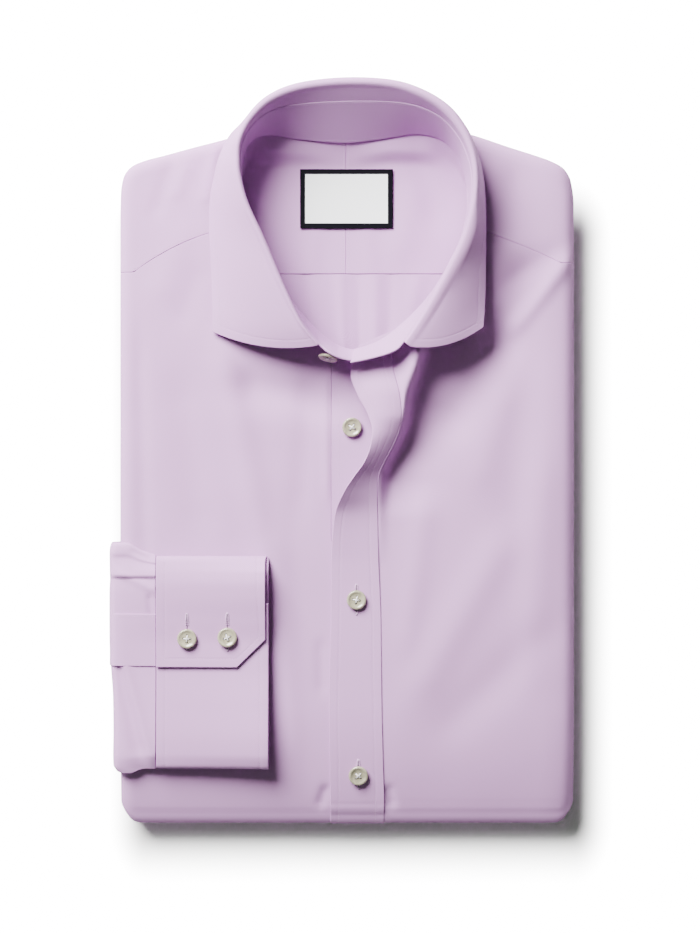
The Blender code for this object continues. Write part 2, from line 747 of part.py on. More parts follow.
def cuff():
    columns = 7
    grid = []
    for column in range(columns):
        share = column / (columns - 1)
        x = CUFF_LEFT + (CUFF_RIGHT - CUFF_LEFT) * share
        past = max((x - CUFF_MITRE_X) / (CUFF_RIGHT - CUFF_MITRE_X), 0.0)
        end_y = CUFF_END_Y + (CUFF_MITRE_Y - CUFF_END_Y) * past
        row = []
        for index, (y, z) in enumerate(cuff_section(end_y)):
            wide = (CUFF_UNDER_RIGHT - CUFF_RIGHT) * share * ease((index - 5) / 6)
            row.append((x + wide, y, z))
        grid.append(row)
    return add_wall("cuff", grid, CUFF_CLOTH, face=-1.0)


def sleeve_section(rise):
    """The flattened sleeve in X and Z: from its tuck in the slit, round the edge, to the cuff seam."""
    low = HALF_HEIGHT + 0.4
    top = PACK_TOP + SEAM_GAP + SLEEVE_CLOTH + rise
    middle = 0.5 * (low + top)
    half = 0.5 * (top - low)
    start = SLEEVE_EDGE + SLEEVE_EDGE_DEPTH
    section = [(SLEEVE_TUCK_X, low), (start, low)]
    for step in range(1, 9):
        turn = math.pi * step / 9
        bulge = SLEEVE_EDGE_DEPTH * math.sin(turn) ** 0.55
        section.append((start - bulge, middle - half * math.cos(turn)))
    section.append((start, top))
    section.append((0.5 * (start + CUFF_LEFT), top))
    section.append((CUFF_LEFT - SEAM_GAP, top))
    return section


def sleeve():
    grid = []
    for y, rise in SLEEVE_STEPS:
        grid.append([(x, y, z) for x, z in sleeve_section(rise)])
    return add_wall("sleeve", grid, SLEEVE_CLOTH, face=-1.0)


def sleeve_placket():
    """The strip round the sleeve's opening, made from the sleeve's section, moved out."""
    grid = []
    for y in np.linspace(GAUNTLET_TOP_Y, GAUNTLET_BOTTOM_Y, 4):
        section = sleeve_section(lookup(SLEEVE_STEPS, y, 1))[5:]
        grid.append([(x, y, z) for x, z in section])
    grid = np.array(grid)
    return add_wall("sleeve_placket", grid - (SEAM_GAP + 1.0) * grid_normals(grid), 1.0, face=-1.0)


def core_ring(index):
    """One level of the folded layers, as points round the pack."""
    inset, height = CORE_SIDE[index]
    inner_radius = FOLD_RADIUS - CLOTH - CORE_FOLD_GAP
    sag = FOLD_RADIUS - height
    fold_inset = FOLD_RADIUS - math.sqrt(max(inner_radius ** 2 - sag ** 2, 0.0))
    bottom_y = FOLD_AXIS_Y - FOLD_RADIUS + fold_inset
    ring = []
    for x in np.linspace(RIGHT_EDGE - CORE_CORNER, LEFT_EDGE + CORE_CORNER, 7):
        ring.append((x, bottom_y, height))
    for y in (-186.0, -100.0, 0.0, 70.0):
        ring.append((LEFT_EDGE + inset, y, height))
    for row in range(len(SHOULDER_OUTLINE)):
        _, edge, outward = yoke_row(row, (0.0, 0.0))
        x, y = edge - outward * inset
        if index < CORE_UPPER_FROM:
            y = min(y, CORE_HEM_Y - inset - 0.004 * abs(row - CENTRE_BACK_ROW))
        ring.append((x, y, height))
    for y in (70.0, 0.0, -100.0, -186.0):
        ring.append((RIGHT_EDGE - inset, y, height))
    return ring


def basin_cutter():
    """Helper: the space under the neck opening, cut out of the folded layers."""
    loop = []
    for place in np.arange(0, 30.01, 0.5):
        point = neck_point(place)[:2]
        out = (point - NECK_CENTRE) / np.hypot(*(point - NECK_CENTRE))
        margin = BASIN_MARGIN * (1 - 0.96 * ease((point[1] - 160.0) / 12.0))
        point = point + out * margin
        loop.append((point[0], min(point[1], BASIN_BACK_Y)))
    low = [(x, y, BASIN_FLOOR) for x, y in loop]
    high = [(x, y, PACK_TOP + 4.0) for x, y in loop]
    count = len(loop)
    faces = [tuple(range(count)), tuple(range(2 * count - 1, count - 1, -1))]
    for here in range(count):
        there = (here + 1) % count
        faces.append((here, there, count + there, count + here))
    cutter = add_mesh("neck_space_cutter", low + high, faces)
    cutter.hide_render = True
    cutter.display_type = "WIRE"
    return cutter


def folded_layers():
    """All that is folded out of sight, as one solid with a groove between its two halves."""
    rings = [core_ring(index) for index in range(len(CORE_SIDE))]
    count = len(rings[0])
    points = [point for ring in rings for point in ring]
    faces = [tuple(range(count)), tuple(len(points) - 1 - index for index in range(count))]
    for level in range(len(rings) - 1):
        for here in range(count):
            there = (here + 1) % count
            a, b = level * count + here, level * count + there
            faces.append((a, b, b + count, a + count))
    made = add_mesh("folded_layers", points, faces)
    cut = made.modifiers.new("neck_space", "BOOLEAN")
    cut.operation = "DIFFERENCE"
    cut.solver = "EXACT"
    cut.object = basin_cutter()
    return made


def button_profile():
    """Radius and height of a button's turned outline, from under its middle to its top."""
    return [
        (BUTTON_RADIUS * 0.55, 0.0),
        (BUTTON_RADIUS * 0.9, 0.5),
        (BUTTON_RADIUS, 1.3),
        (BUTTON_RADIUS * 0.95, 2.1),
        (BUTTON_RADIUS * 0.84, BUTTON_HEIGHT),
        (BUTTON_RADIUS * 0.72, 2.15),
        (BUTTON_RADIUS * 0.62, 1.7),
    ]


def polygon(sides, radius, height, centre=(0.0, 0.0)):
    turns = [2 * math.pi * side / sides for side in range(sides)]
    return [(centre[0] + radius * math.cos(a), centre[1] + radius * math.sin(a), height) for a in turns]


def button_holes(name):
    """Helper: the four thread holes of a button."""
    points = []
    faces = []
    for side_x in (-1, 1):
        for side_y in (-1, 1):
            centre = (side_x * BUTTON_HOLE_OFFSET, side_y * BUTTON_HOLE_OFFSET)
            first = len(points)
            points += polygon(HOLE_SIDES, BUTTON_HOLE_RADIUS, -1.0, centre)
            points += polygon(HOLE_SIDES, BUTTON_HOLE_RADIUS, BUTTON_HEIGHT + 1.0, centre)
            ends = list(range(first, first + HOLE_SIDES))
            faces.append(tuple(reversed(ends)))
            faces.append(tuple(index + HOLE_SIDES for index in ends))
            for side in range(HOLE_SIDES):
                a, b = ends[side], ends[(side + 1) % HOLE_SIDES]
                faces.append((a, b, b + HOLE_SIDES, a + HOLE_SIDES))
    cutter = add_mesh(name, points, faces)
    cutter.hide_render = True
    cutter.display_type = "WIRE"
    return cutter


def button(name, place, normal, turn=0.0):
    """A four-hole button with a raised rim, standing at a place on its cloth."""
    points = []
    faces = []
    for radius, height in button_profile():
        points += polygon(BUTTON_SIDES, radius, height)
    levels = len(button_profile())
    faces.append(tuple(range(BUTTON_SIDES)))
    faces.append(tuple(range(levels * BUTTON_SIDES - 1, (levels - 1) * BUTTON_SIDES - 1, -1)))
    for level in range(levels - 1):
        for side in range(BUTTON_SIDES):
            a = level * BUTTON_SIDES + side
            b = level * BUTTON_SIDES + (side + 1) % BUTTON_SIDES
            faces.append((a, b, b + BUTTON_SIDES, a + BUTTON_SIDES))
    made = add_mesh(name, points, faces, BUTTON, 0.35)
    holes = button_holes(name + "_cutter")
    cut = made.modifiers.new("holes", "BOOLEAN")
    cut.operation = "DIFFERENCE"
    cut.solver = "EXACT"
    cut.object = holes
    facing = Vector(normal).normalized().to_track_quat("Z", "Y")
    seat = Matrix.Translation(Vector(place) * MM) @ facing.to_matrix().to_4x4()
    made.matrix_world = seat @ Matrix.Rotation(math.radians(turn), 4, "Z")
    holes.matrix_world = made.matrix_world
    return made


def buttons():
    seat = 0.35
    button("collar_button", (-7.9, 59.9, 41.5), (-0.25, -0.93, -0.28), 20.0)
    button("front_button_1", (5.5, 17.5, PACK_TOP + seat), (0.0, 0.0, 1.0), 10.0)
    placket_top = PACK_TOP + PLACKET_PROUD + seat
    button("front_button_2", (8.1, -82.5, placket_top), (0.0, 0.0, 1.0), 35.0)
    button("front_button_3", (9.2, -184.6, placket_top), (0.0, 0.0, 1.0), 5.0)
    cuff_top = PACK_TOP + 3 * (SEAM_GAP + CUFF_CLOTH) + seat
    button("cuff_button_1", (-89.6, -104.6, cuff_top), (0.0, 0.0, 1.0), 15.0)
    button("cuff_button_2", (-66.3, -103.8, cuff_top), (0.0, 0.0, 1.0), 40.0)


def main():
    clear_scene()
    folded_layers()
    front_left()
    button_band()
    front_right()
    placket()
    half = 0.5 * SEAM_GAP
    outer_yoke("yoke_left", range(CENTRE_BACK_ROW + 1), -half, 0, LEFT_SHOULDER_BOW)
    last = len(SHOULDER_OUTLINE) - 1
    outer_yoke("yoke_right", range(CENTRE_BACK_ROW, last + 1), half, last, RIGHT_SHOULDER_BOW)
    inner_yoke("yoke_inner_left", -1, YOKE_SPLIT_X - half)
    inner_yoke("yoke_inner_right", 1, YOKE_SPLIT_X + half)
    back_inner()
    neck_label()
    collar_stand()
    collar_leaf()
    sleeve()
    sleeve_placket()
    cuff()
    buttons()


main()
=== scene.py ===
"""Looks for a long sleeve dress shirt, folded flat for the shelf with its front up.

Lengths are in millimetres until a mesh is made. X runs to the right, Y from bottom fold to collar
and Z up from the surface that the shirt lies on. Each piece of cloth is a grid of points on the form
of its solid, drawn finer, with its creases, a thin wall and rounded edges.
"""

import math

import bmesh
import bpy
import numpy as np
from mathutils import Matrix, Vector

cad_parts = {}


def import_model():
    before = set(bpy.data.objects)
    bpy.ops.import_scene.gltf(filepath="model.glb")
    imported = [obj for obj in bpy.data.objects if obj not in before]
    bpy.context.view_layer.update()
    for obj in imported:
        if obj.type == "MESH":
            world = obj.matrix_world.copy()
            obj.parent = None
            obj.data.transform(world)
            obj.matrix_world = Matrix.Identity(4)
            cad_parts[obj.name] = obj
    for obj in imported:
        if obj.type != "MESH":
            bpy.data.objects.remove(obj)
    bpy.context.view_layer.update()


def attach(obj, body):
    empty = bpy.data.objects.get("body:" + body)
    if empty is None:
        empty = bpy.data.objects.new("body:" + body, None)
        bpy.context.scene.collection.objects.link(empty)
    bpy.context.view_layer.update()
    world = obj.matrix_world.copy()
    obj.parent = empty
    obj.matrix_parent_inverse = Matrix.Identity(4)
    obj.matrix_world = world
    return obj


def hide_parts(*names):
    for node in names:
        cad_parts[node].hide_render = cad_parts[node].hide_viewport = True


MM = 0.001
SIDES = ("top", "bottom", "left", "right")

# The folded pack.
FOLD_RADIUS = 14.0
PACK_TOP = 2 * FOLD_RADIUS
HALF_HEIGHT = 12.4
LEFT_EDGE = -129.5
RIGHT_EDGE = 134.9
FOLD_AXIS_Y = -200.0
HEM_Y = 158.0
FOLD_LENGTH = math.pi * FOLD_RADIUS
HEM_RUN = FOLD_LENGTH + HEM_Y - FOLD_AXIS_Y
CORNER_INSET = 4.0
# Where the face starts to sag towards the bottom fold and the right side, over what way, how far
FOLD_SAG_FROM, FOLD_SAG_RUN, FOLD_SAG = -144.0, 58.0, 7.4
SIDE_SAG_FROM, SIDE_SAG_RUN, SIDE_SAG = 116.0, 18.9, 2.6
# A point above this height, and fully above it by the second number, sags with the face.
UPPER_FROM, UPPER_RUN = 14.0, 12.0

# Cloth, the gap kept between two pieces and how far a wall's edge is rounded, as a share of it.
SEAM_GAP = 0.3
CLOTH = 1.4
STAND_CLOTH = 1.8
CUFF_CLOTH = 1.6
SLEEVE_CLOTH = 2.4
LABEL_CLOTH = 1.0
LABEL_SEAT = 0.6
EDGE_ROUNDING = 0.42
# Where a wall's points lie along its rounded edge, as shares of the rounding
EDGE_PLACES = (0.12, 0.35, 0.65, 1.0, 1.6)

# Where the pieces lie.
BAND_LEFT = -6.4
BAND_RIGHT = 18.0
BAND_BOTTOM_Y = -48.0
YOKE_SPLIT_X = 2.0
YOKE_HEM_Y = 107.0
BACK_END_Y = 56.0
NECK_FLOOR = 22.9
NECK_BACK_TOP = 29.0
NECK_RISE_Y = (171.0, 181.5)
CORE_TOP = PACK_TOP - CLOTH - SEAM_GAP
LABEL_BOX = (-24.7, 29.3, 133.3, 167.8)
LABEL_BORDER = 3.0

# Section of a folded side edge: inset from the outline, depth below the pack's face
EDGE_SECTION = [
    (8.0, 0.0), (5.0, 0.35), (2.4, 1.6), (0.7, 3.7), (0.0, 6.2), (0.7, 8.7), (2.4, 10.8), (4.6, 12.05),
    (7.5, 12.4),
]
# How a row's points are drawn together towards its inner end, on the left and on the right front
LEFT_CROWDING = 1.15
RIGHT_CROWDING = 1.7

# Collar stand, from the left end round the back to the right end: top x, y, z; neck seam x, y, z
STAND_LEFT_TIP = (11.5, 58.4, 43.5, 12.0, 65.4, 29.2)
STAND_LEFT_END = [
    (5.0, 56.0, 46.0, 6.2, 63.0, 28.9),
    (-1.4, 57.3, 48.5, -1.5, 65.0, 28.9),
    (-6.5, 59.8, 49.8, -7.0, 68.3, 28.9),
]
STAND_RIGHT_END = [
    (31.4, 62.2, 50.2, 24.0, 69.5, 36.3),
    (26.0, 59.6, 50.0, 18.5, 66.5, 36.2),
    (16.5, 57.0, 49.2, 13.5, 64.6, 35.9),
    (8.0, 55.2, 47.8, 9.8, 63.5, 35.6),
    (4.4, 54.6, 47.4, 7.4, 62.6, 35.4),
]
# Collar where the leaf is sewn on: rim x, y, z; neck seam x, y, z; leaf edge x, y, z;
# share of the height that the stand takes; bow of the leaf
COLLAR = [
    (-13.9, 64.0, 51.5, -15.5, 75.2, 28.8, -75.4, 72.6, 31.5, 0.90, -1.0),
    (-24.0, 76.7, 54.0, -23.5, 83.5, 28.6, -75.6, 86.5, 31.5, 0.86, 0.6),
    (-34.8, 98.2, 56.0, -34.2, 98.5, 28.5, -76.2, 106.5, 31.0, 0.82, 2.0),
    (-45.5, 123.2, 57.5, -45.0, 121.5, 28.5, -77.3, 130.5, 30.8, 0.80, 2.0),
    (-54.6, 143.0, 58.5, -53.8, 141.0, 28.6, -77.0, 149.5, 30.4, 0.78, 2.0),
    (-58.6, 157.2, 59.0, -57.5, 155.0, 28.7, -74.8, 162.0, 30.0, 0.78, 2.0),
    (-59.7, 168.5, 59.5, -58.0, 167.0, 28.9, -71.5, 174.5, 30.3, 0.78, 2.0),
    (-58.6, 179.9, 60.0, -56.3, 177.5, 29.2, -64.8, 188.0, 27.8, 0.78, 1.4),
    (-52.3, 192.3, 60.0, -50.5, 184.5, 29.5, -55.4, 196.2, 20.0, 0.77, 1.0),
    (-41.0, 203.1, 60.0, -41.0, 186.3, 29.7, -44.0, 206.7, 17.5, 0.76, 0.8),
    (-24.0, 209.8, 60.0, -25.0, 184.0, 29.7, -25.5, 212.1, 16.5, 0.75, 0.6),
    (1.5, 212.7, 60.0, 1.8, 182.0, 29.7, 1.5, 214.3, 16.0, 0.75, 0.4),
    (27.0, 211.5, 60.0, 25.0, 184.5, 29.7, 28.5, 213.3, 16.5, 0.75, 0.6),
    (44.0, 206.5, 60.0, 43.0, 187.0, 29.7, 46.5, 208.9, 17.5, 0.76, 0.8),
    (58.2, 198.0, 59.5, 57.5, 183.5, 29.5, 60.4, 199.8, 20.0, 0.77, 0.8),
    (67.8, 186.7, 59.0, 66.0, 174.5, 29.3, 70.8, 189.8, 26.8, 0.77, 1.0),
    (73.5, 174.2, 58.5, 70.5, 163.0, 29.1, 77.2, 177.2, 32.3, 0.77, 1.0),
    (75.8, 160.0, 58.0, 72.3, 152.0, 29.1, 81.2, 163.4, 36.0, 0.77, 0.8),
    (74.6, 143.0, 57.0, 71.0, 137.0, 29.4, 82.5, 147.7, 38.5, 0.77, 0.8),
    (70.1, 126.0, 56.0, 66.3, 122.0, 30.0, 82.7, 130.0, 39.5, 0.78, 1.0),
    (62.2, 109.0, 55.0, 58.5, 107.0, 31.0, 82.6, 113.4, 40.0, 0.80, 1.4),
    (53.1, 92.0, 53.5, 49.2, 93.2, 32.3, 82.5, 98.2, 39.5, 0.82, 2.0),
    (44.0, 76.7, 52.5, 39.0, 82.0, 34.0, 82.1, 86.0, 39.0, 0.86, 1.8),
    (36.0, 65.0, 51.5, 30.0, 74.0, 35.6, 81.3, 74.9, 39.0, 0.90, 1.4),
]
LAST_STATION = len(COLLAR) - 1
STATION_STEP = 0.2
# Stations along the neck seam where pieces start and end.
SHOULDER_LEFT = 6.65
SHOULDER_RIGHT = 21.17
NECK_CENTRE_BACK = 14.0
NECK_LEFT_FRONT = 2.0
NECK_PLACKET = 25.88
INNER_YOKE_STATIONS = 4.9
INNER_SEAM_INSET = -1.5
NECK_CENTRE = np.array((8.0, 130.0))
STAND_DROP = 1.7
# The left-hand front comes down from its neck seam to the pack within one part in this many of a row.
SEAM_FALL = 6.0
# Right of the ridge: width of its wall, the share of its height there, and the hollow at its foot
RIDGE_WALL = 6.0
RIDGE_WALL_SHARE = 0.80
VALLEY_DEPTH = 5.4
VALLEY_OFFSET = 8.5
VALLEY_WIDTHS = (5.5, 21.0)
# Half width and drop of the collar's roll: at its ends, at its sides and at the back
ROLL_SIZES = ((0.7, 0.6), (1.8, 1.7), (2.7, 2.3))
# How much wider the roll turns over on the right, where the leaf stands off the front
ROLL_SOFTENED = 2.8
FRONT_EDGE_BULGE = 4.6
DOWN_THE_FRONT = np.array((0.0, 1.0, 0.0))

# Pack outline round the shoulders: edge x, edge y, neck seam station each point is lofted from
SHOULDER_OUTLINE = [
    (-129.5, 107.5, 6.65), (-129.5, 135.0, 7.3), (-129.2, 154.0, 8.0), (-127.6, 163.5, 8.4),
    (-123.2, 169.4, 8.7), (-116.0, 172.8, 9.0), (-104.0, 176.0, 9.5), (-88.0, 180.4, 10.0),
    (-62.0, 187.4, 11.0), (-38.0, 196.5, 12.4), (2.0, 198.5, 14.0), (40.0, 197.0, 15.8),
    (76.0, 188.0, 17.0), (97.0, 181.0, 18.0), (112.0, 176.2, 18.7), (122.0, 172.6, 19.0),
    (129.0, 168.6, 19.3), (133.2, 161.5, 19.7), (134.9, 148.0, 20.4), (134.9, 113.0, 21.17),
]
CENTRE_BACK_ROW = 10
LEFT_SHOULDER_BOW = 6.0
RIGHT_SHOULDER_BOW = 1.7

# Placket: y, free edge x and z, seam edge x and z, bow between them
PLACKET = [
    (66.0, 9.6, 34.2, 29.5, 34.3, 0.0), (61.0, 7.6, 34.4, 28.4, 34.9, 0.2),
    (56.0, 6.0, 35.0, 28.4, 37.2, 1.2), (48.0, 4.6, 36.2, 29.9, 41.0, 2.0),
    (36.0, 8.6, 38.6, 32.8, 43.8, 2.2), (25.0, 14.4, 41.0, 33.9, 43.2, 2.0),
    (15.0, 17.1, 42.6, 32.0, 39.8, 1.0), (6.0, 15.9, 43.2, 28.2, 36.8, 0.2),
    (-3.0, 12.3, 43.0, 23.6, 34.8, 0.0), (-11.0, 6.6, 42.0, 20.5, 33.4, 0.0),
    (-20.0, 0.8, 39.6, 20.2, 32.2, 0.0), (-33.0, -4.4, 33.8, 20.4, 30.2, 0.0),
    (-49.0, -6.0, 31.0, 20.7, 29.4, 0.0), (-62.0, -6.5, 29.7, 21.0, 29.0, 0.0),
    (-90.0, -6.7, 28.9, 22.2, 28.9, 0.0), (-144.0, -7.8, 28.9, 22.8, 28.9, 0.0),
    (-200.0, -7.1, 28.9, 24.3, 28.9, 0.0),
]
PLACKET_PROUD = 0.9

# Ridge where the right-hand front is lifted towards the collar: y, x, z, width of its slope
RIDGE = [
    (110.0, 62.0, 28.2, 14.0), (94.0, 57.0, 30.0, 16.0), (84.0, 52.5, 33.5, 18.0),
    (74.0, 47.5, 39.0, 19.0), (64.0, 45.0, 42.5, 20.0), (48.0, 40.5, 45.2, 22.0),
    (36.0, 36.2, 44.8, 23.0), (25.0, 35.0, 43.0, 23.0), (15.0, 32.6, 39.8, 22.0),
    (6.0, 28.8, 36.8, 20.0), (-3.0, 24.2, 34.8, 18.0), (-11.0, 21.1, 33.3, 15.0),
    (-20.0, 20.8, 32.0, 13.0), (-33.0, 21.0, 29.9, 12.0), (-49.0, 21.3, 28.9, 11.0),
    (-62.0, 21.9, 28.0, 10.0),
]

# Cuff and sleeve.
CUFF_LEFT = -107.6
CUFF_RIGHT = -44.4
CUFF_UNDER_RIGHT = -42.6
CUFF_TOP_Y = -56.9
CUFF_BOTTOM_Y = -179.8
CUFF_END_Y = -121.2
CUFF_MITRE_X = -61.0
CUFF_MITRE_Y = -105.0
CUFF_UNDERLAP_Y = -84.0
# How far the soft cuff stands off the front: share of the way down it, height
CUFF_SWELL = np.array([
    (0.0, 0.3), (0.04, 3.2), (0.08, 5.2), (0.13, 6.1), (0.18, 5.6), (0.30, 2.9), (0.42, 0.7), (0.52, 0.8),
    (0.70, 3.1), (0.86, 4.9), (0.93, 4.5), (1.0, 1.6),
])
CUFF_SIDE_LIFT = 3.4
SLEEVE_EDGE = -133.6
SLEEVE_EDGE_DEPTH = 9.0
SLEEVE_TUCK_X = -121.5
# A point of the sleeve above this height, and fully above it by the second number, lifts with the cuff.
SLEEVE_FACE_FROM, SLEEVE_FACE_RUN = 20.0, 8.0
GAUNTLET_TOP_Y = -90.4
GAUNTLET_BOTTOM_Y = -120.7
# Steps of the sleeve's face where its pleats lie: y, height
SLEEVE_STEPS = [
    (-49.0, -1.2), (-50.5, 0.2), (-54.5, 0.9), (-56.2, 0.9), (-57.6, 0.3), (-66.0, 1.4), (-68.6, 1.7),
    (-69.8, 0.2), (-78.0, 0.5), (-90.4, 0.4), (-105.0, 0.3), (-120.7, 0.3), (-140.0, 0.4), (-160.0, 0.6),
    (-172.0, 0.6), (-178.0, -0.4), (-181.8, -1.6),
]
# How far the sleeve's edge bulges out to the left: y, distance
SLEEVE_SIDE = [
    (-49.0, 0.6), (-52.0, 1.9), (-58.0, 2.1), (-70.0, 1.8), (-80.0, 2.2), (-119.5, 2.0), (-122.5, 0.1),
    (-150.0, 0.0), (-168.0, -0.3), (-175.0, 0.2), (-179.0, -0.3), (-181.8, -2.2),
]

# Profile of the folded layers inside a side edge: inset, height
CORE_SIDE = [
    (8.5, 1.7), (4.6, 2.3), (2.7, 4.1), (1.9, 6.2), (2.7, 8.3), (4.6, 10.1), (9.4, 10.7), (9.5, 17.2),
    (9.4, 17.3), (4.6, 17.9), (2.7, 19.7), (1.9, 21.8), (2.7, 23.9), (4.6, 25.7), (8.5, CORE_TOP),
]
CORE_UPPER_FROM = 8
CORE_CORNER = 17.0
CORE_FOLD_GAP = 0.7
CORE_HEM_Y = 156.0
CORE_SHOWN_TOP = 21.5
CORE_LEVEL_STEP = 0.3
CORE_SIDE_YS = (-186.0, -100.0, 0.0, 70.0)
LAYER_PITCH = 2.1
LAYER_DEPTH = 1.1

# Creases: from x, y to x, y, width, height
LEFT_CREASES = [
    (-74.0, 178.0, -79.0, 152.0, 3.0, 0.9),
    (-79.0, 147.0, -76.0, 141.0, 1.3, -0.4),
    (-99.0, 172.0, -107.0, 146.0, 4.5, -0.8),
    (-91.0, 166.0, -96.0, 154.0, 3.5, 0.6),
    (-94.0, 126.0, -104.0, 100.0, 9.0, 0.8),
    (-84.0, 104.0, -92.0, 84.0, 7.0, -0.6),
    (-50.0, 40.0, -10.0, 34.0, 12.0, -3.6),
    (-66.0, 46.0, -46.0, -50.0, 9.0, 2.3),
    (-9.8, 34.0, -9.2, -14.0, 2.4, 0.75),
    (-20.0, 40.0, -24.0, -20.0, 7.0, -1.0),
    (-92.0, 30.0, -84.0, -30.0, 12.0, -1.6),
    (-117.5, 50.0, -115.0, -46.0, 4.5, -0.9),
    (-36.0, -60.0, -30.0, -160.0, 7.0, 1.0),
    (-12.5, -112.0, -12.0, -132.0, 3.2, -0.8),
    (-10.4, -194.0, -12.4, -201.0, 2.6, -1.4),
]
RIGHT_CREASES = [
    (128.0, 111.0, 104.0, 80.0, 5.0, 2.1),
    (119.0, 117.0, 96.0, 102.0, 6.0, -1.0),
    (98.0, 158.0, 97.0, 132.0, 8.0, -1.2),
    (104.0, 106.0, 93.0, 72.0, 12.0, -4.2),
    (88.0, 62.0, 64.0, 28.0, 13.0, -4.6),
    (92.0, 30.0, 80.0, -6.0, 10.0, 0.9),
    (106.0, 50.0, 100.0, -30.0, 13.0, -1.4),
    (88.0, -58.0, 50.0, -124.0, 12.0, 2.1),
    (46.0, -40.0, 38.0, -100.0, 8.0, 1.1),
    (114.0, -20.0, 110.0, -110.0, 10.0, 1.5),
    (68.0, -150.0, 110.0, -110.0, 12.0, -1.5),
    (27.0, -194.0, 28.4, -201.0, 2.8, -1.4),
]
BACK_CREASES = [
    (-22.0, 104.0, -17.0, 66.0, 4.0, -0.9),
    (-1.0, 105.0, 0.5, 66.0, 3.0, 0.9),
    (9.0, 105.0, 9.5, 66.0, 2.6, -0.6),
    (19.0, 104.0, 19.0, 66.0, 3.6, 0.9),
    (28.0, 104.0, 27.0, 68.0, 3.0, -0.6),
    (44.0, 106.0, 38.0, 76.0, 5.0, 0.8),
]
INNER_YOKE_CREASES = [
    (-16.0, 130.0, -18.0, 109.0, 5.0, 0.35),
    (14.0, 132.0, 17.0, 108.0, 5.0, 0.4),
    (44.0, 172.0, 54.0, 142.0, 7.0, -0.9),
    (-36.0, 172.0, -40.0, 150.0, 7.0, -0.6),
    (40.0, 150.0, 34.0, 124.0, 9.0, 0.8),
]
SLEEVE_CREASES = [
    (-120.0, -54.6, -112.6, -58.4, 1.3, -0.7),
    (-126.4, -68.0, -111.0, -75.5, 2.4, 0.7),
    (-111.4, -82.0, -110.6, -91.0, 1.9, -0.8),
    (-125.5, -122.0, -111.5, -171.0, 3.0, 1.2),
    (-129.0, -126.0, -118.5, -166.0, 4.5, -1.8),
]

# Buttons, their holes and their thread.
BUTTON_RADIUS = 5.7
BUTTON_HOLE_OFFSET = 1.35
# A hole's radius at its foot and top, the depth of its cut and the height that it is cut about
BUTTON_HOLE_RADII = (0.62, 0.78)
BUTTON_HOLE_DEPTH = 4
BUTTON_MIDDLE = 1.2
BUTTON_HOLE_SIDES = 18
BUTTON_TURNS = 56
BUTTON_SHARP_ANGLE = math.radians(40)
# Turned outline of a button: radius as a share, height
BUTTON_OUTLINE = [
    (0.50, 0.10), (0.80, 0.35), (0.95, 0.80), (1.00, 1.25), (0.995, 1.60), (0.965, 1.95), (0.91, 2.20),
    (0.84, 2.30), (0.77, 2.22), (0.70, 2.00), (0.62, 1.78), (0.50, 1.66), (0.30, 1.60),
]
# A strand of button thread from hole to hole: share of the way from the middle, height
STRAND = ((-1.0, 0.6), (-0.98, 1.5), (-0.7, 1.86), (0.0, 2.06), (0.7, 1.86), (0.98, 1.5), (1.0, 0.6))
STRAND_RADIUS = 0.22
STRAND_SIDES = 6
STRAND_SHIFTS = (-0.3, 0.0, 0.3)

# Stitches: spacing, length, width, sides of their section and its thickness as a share of the width
STITCH_PITCH = 1.7
STITCH_LENGTH = 1.25
STITCH_WIDTH = 0.24
STITCH_SIDES = 4
STITCH_FLATNESS = 0.7
# The groove that a row of stitches pulls into the cloth
GROOVE_DEPTH = 0.10
GROOVE_WIDTH = 0.45
# Along a stitch: share of its length, share of its width, height
STITCH_PROFILE = (
    (-0.5, 0.25, -0.10), (-0.3, 0.9, 0.02), (0.0, 1.0, 0.06), (0.3, 0.9, 0.02), (0.5, 0.25, -0.10)
)
# Distances from a side at which a cloth's points lie closer, for the stitches there
NEAR_STITCHES = (1.0, 1.5, 2.0)
# Threads round a buttonhole, and the length of the bar at each of its ends
BUTTONHOLE_TEETH = 74
BUTTONHOLE_BAR = 0.9
# Section of a tooth of buttonhole thread: at the slit (0) or outside (1), height, half width
TOOTH_SECTION = ((0, 0.02, 0.16), (0, 0.30, 0.20), (1, 0.28, 0.20), (1, -0.05, 0.20))

# Light and camera, in metres but for the camera's place and lens.
CAMERA_PLACE = (4.35, -5.2, 1300.0)
LENS_MM = 84.62
SKY = 0.12
KEY_POWER = 126.0
FILL_POWER = 2.0
BOARD_HALF = 4.0
BOARD_TONE = (0.93, 0.93, 0.93, 1.0)
# Painted shadow on the glowing floor: for each axis, the middle and half size of the box round the shirt
# where the floor's glow is off, and how much wider it fades
PAINTED_SHADOW_BOX = (("X", 0.0105, 0.1265, 1.0), ("Y", -0.0435, 0.1725, 1.6))
# Glow painted into the floor: how far past that box it reaches full, its full strength and the power on its
# rise
GLOW_REACH = 0.027
GLOW_FAR = 16.0
GLOW_SOFTNESS = 1.8

# Spacing of the twill's ribs, about twice as coarse as the real yarn, so that they can be seen at all,
# and of the label's. A wave texture of scale 0.3142 has one band in each unit of its map.
YARN_PITCH = 0.0006
LABEL_RIB_PITCH = 0.0005
WAVE_UNIT = 0.3142


def lookup(table, value, column):
    """A column of a table read at a value of its first column, on a smooth curve between rows."""
    rows = np.array(sorted(row[:] for row in table), float)
    return float(curve(rows[:, 0], rows[:, column], np.array([value]))[0])


def even_slopes(knots, values):
    """Slopes at the knots of a curve that never swings past its values."""
    steps = np.diff(knots)
    if values.ndim > 1:
        steps = steps.reshape((-1,) + (1,) * (values.ndim - 1))
    rises = np.diff(values, axis=0) / steps
    before, after = rises[:-1], rises[1:]
    wide = 2 * steps[1:] + steps[:-1]
    narrow = steps[1:] + 2 * steps[:-1]
    same = before * after > 0
    safe_before = np.where(same, before, 1.0)
    safe_after = np.where(same, after, 1.0)
    inner = np.where(same, (wide + narrow) / (wide / safe_before + narrow / safe_after), 0.0)
    return np.concatenate([rises[:1], inner, rises[-1:]])


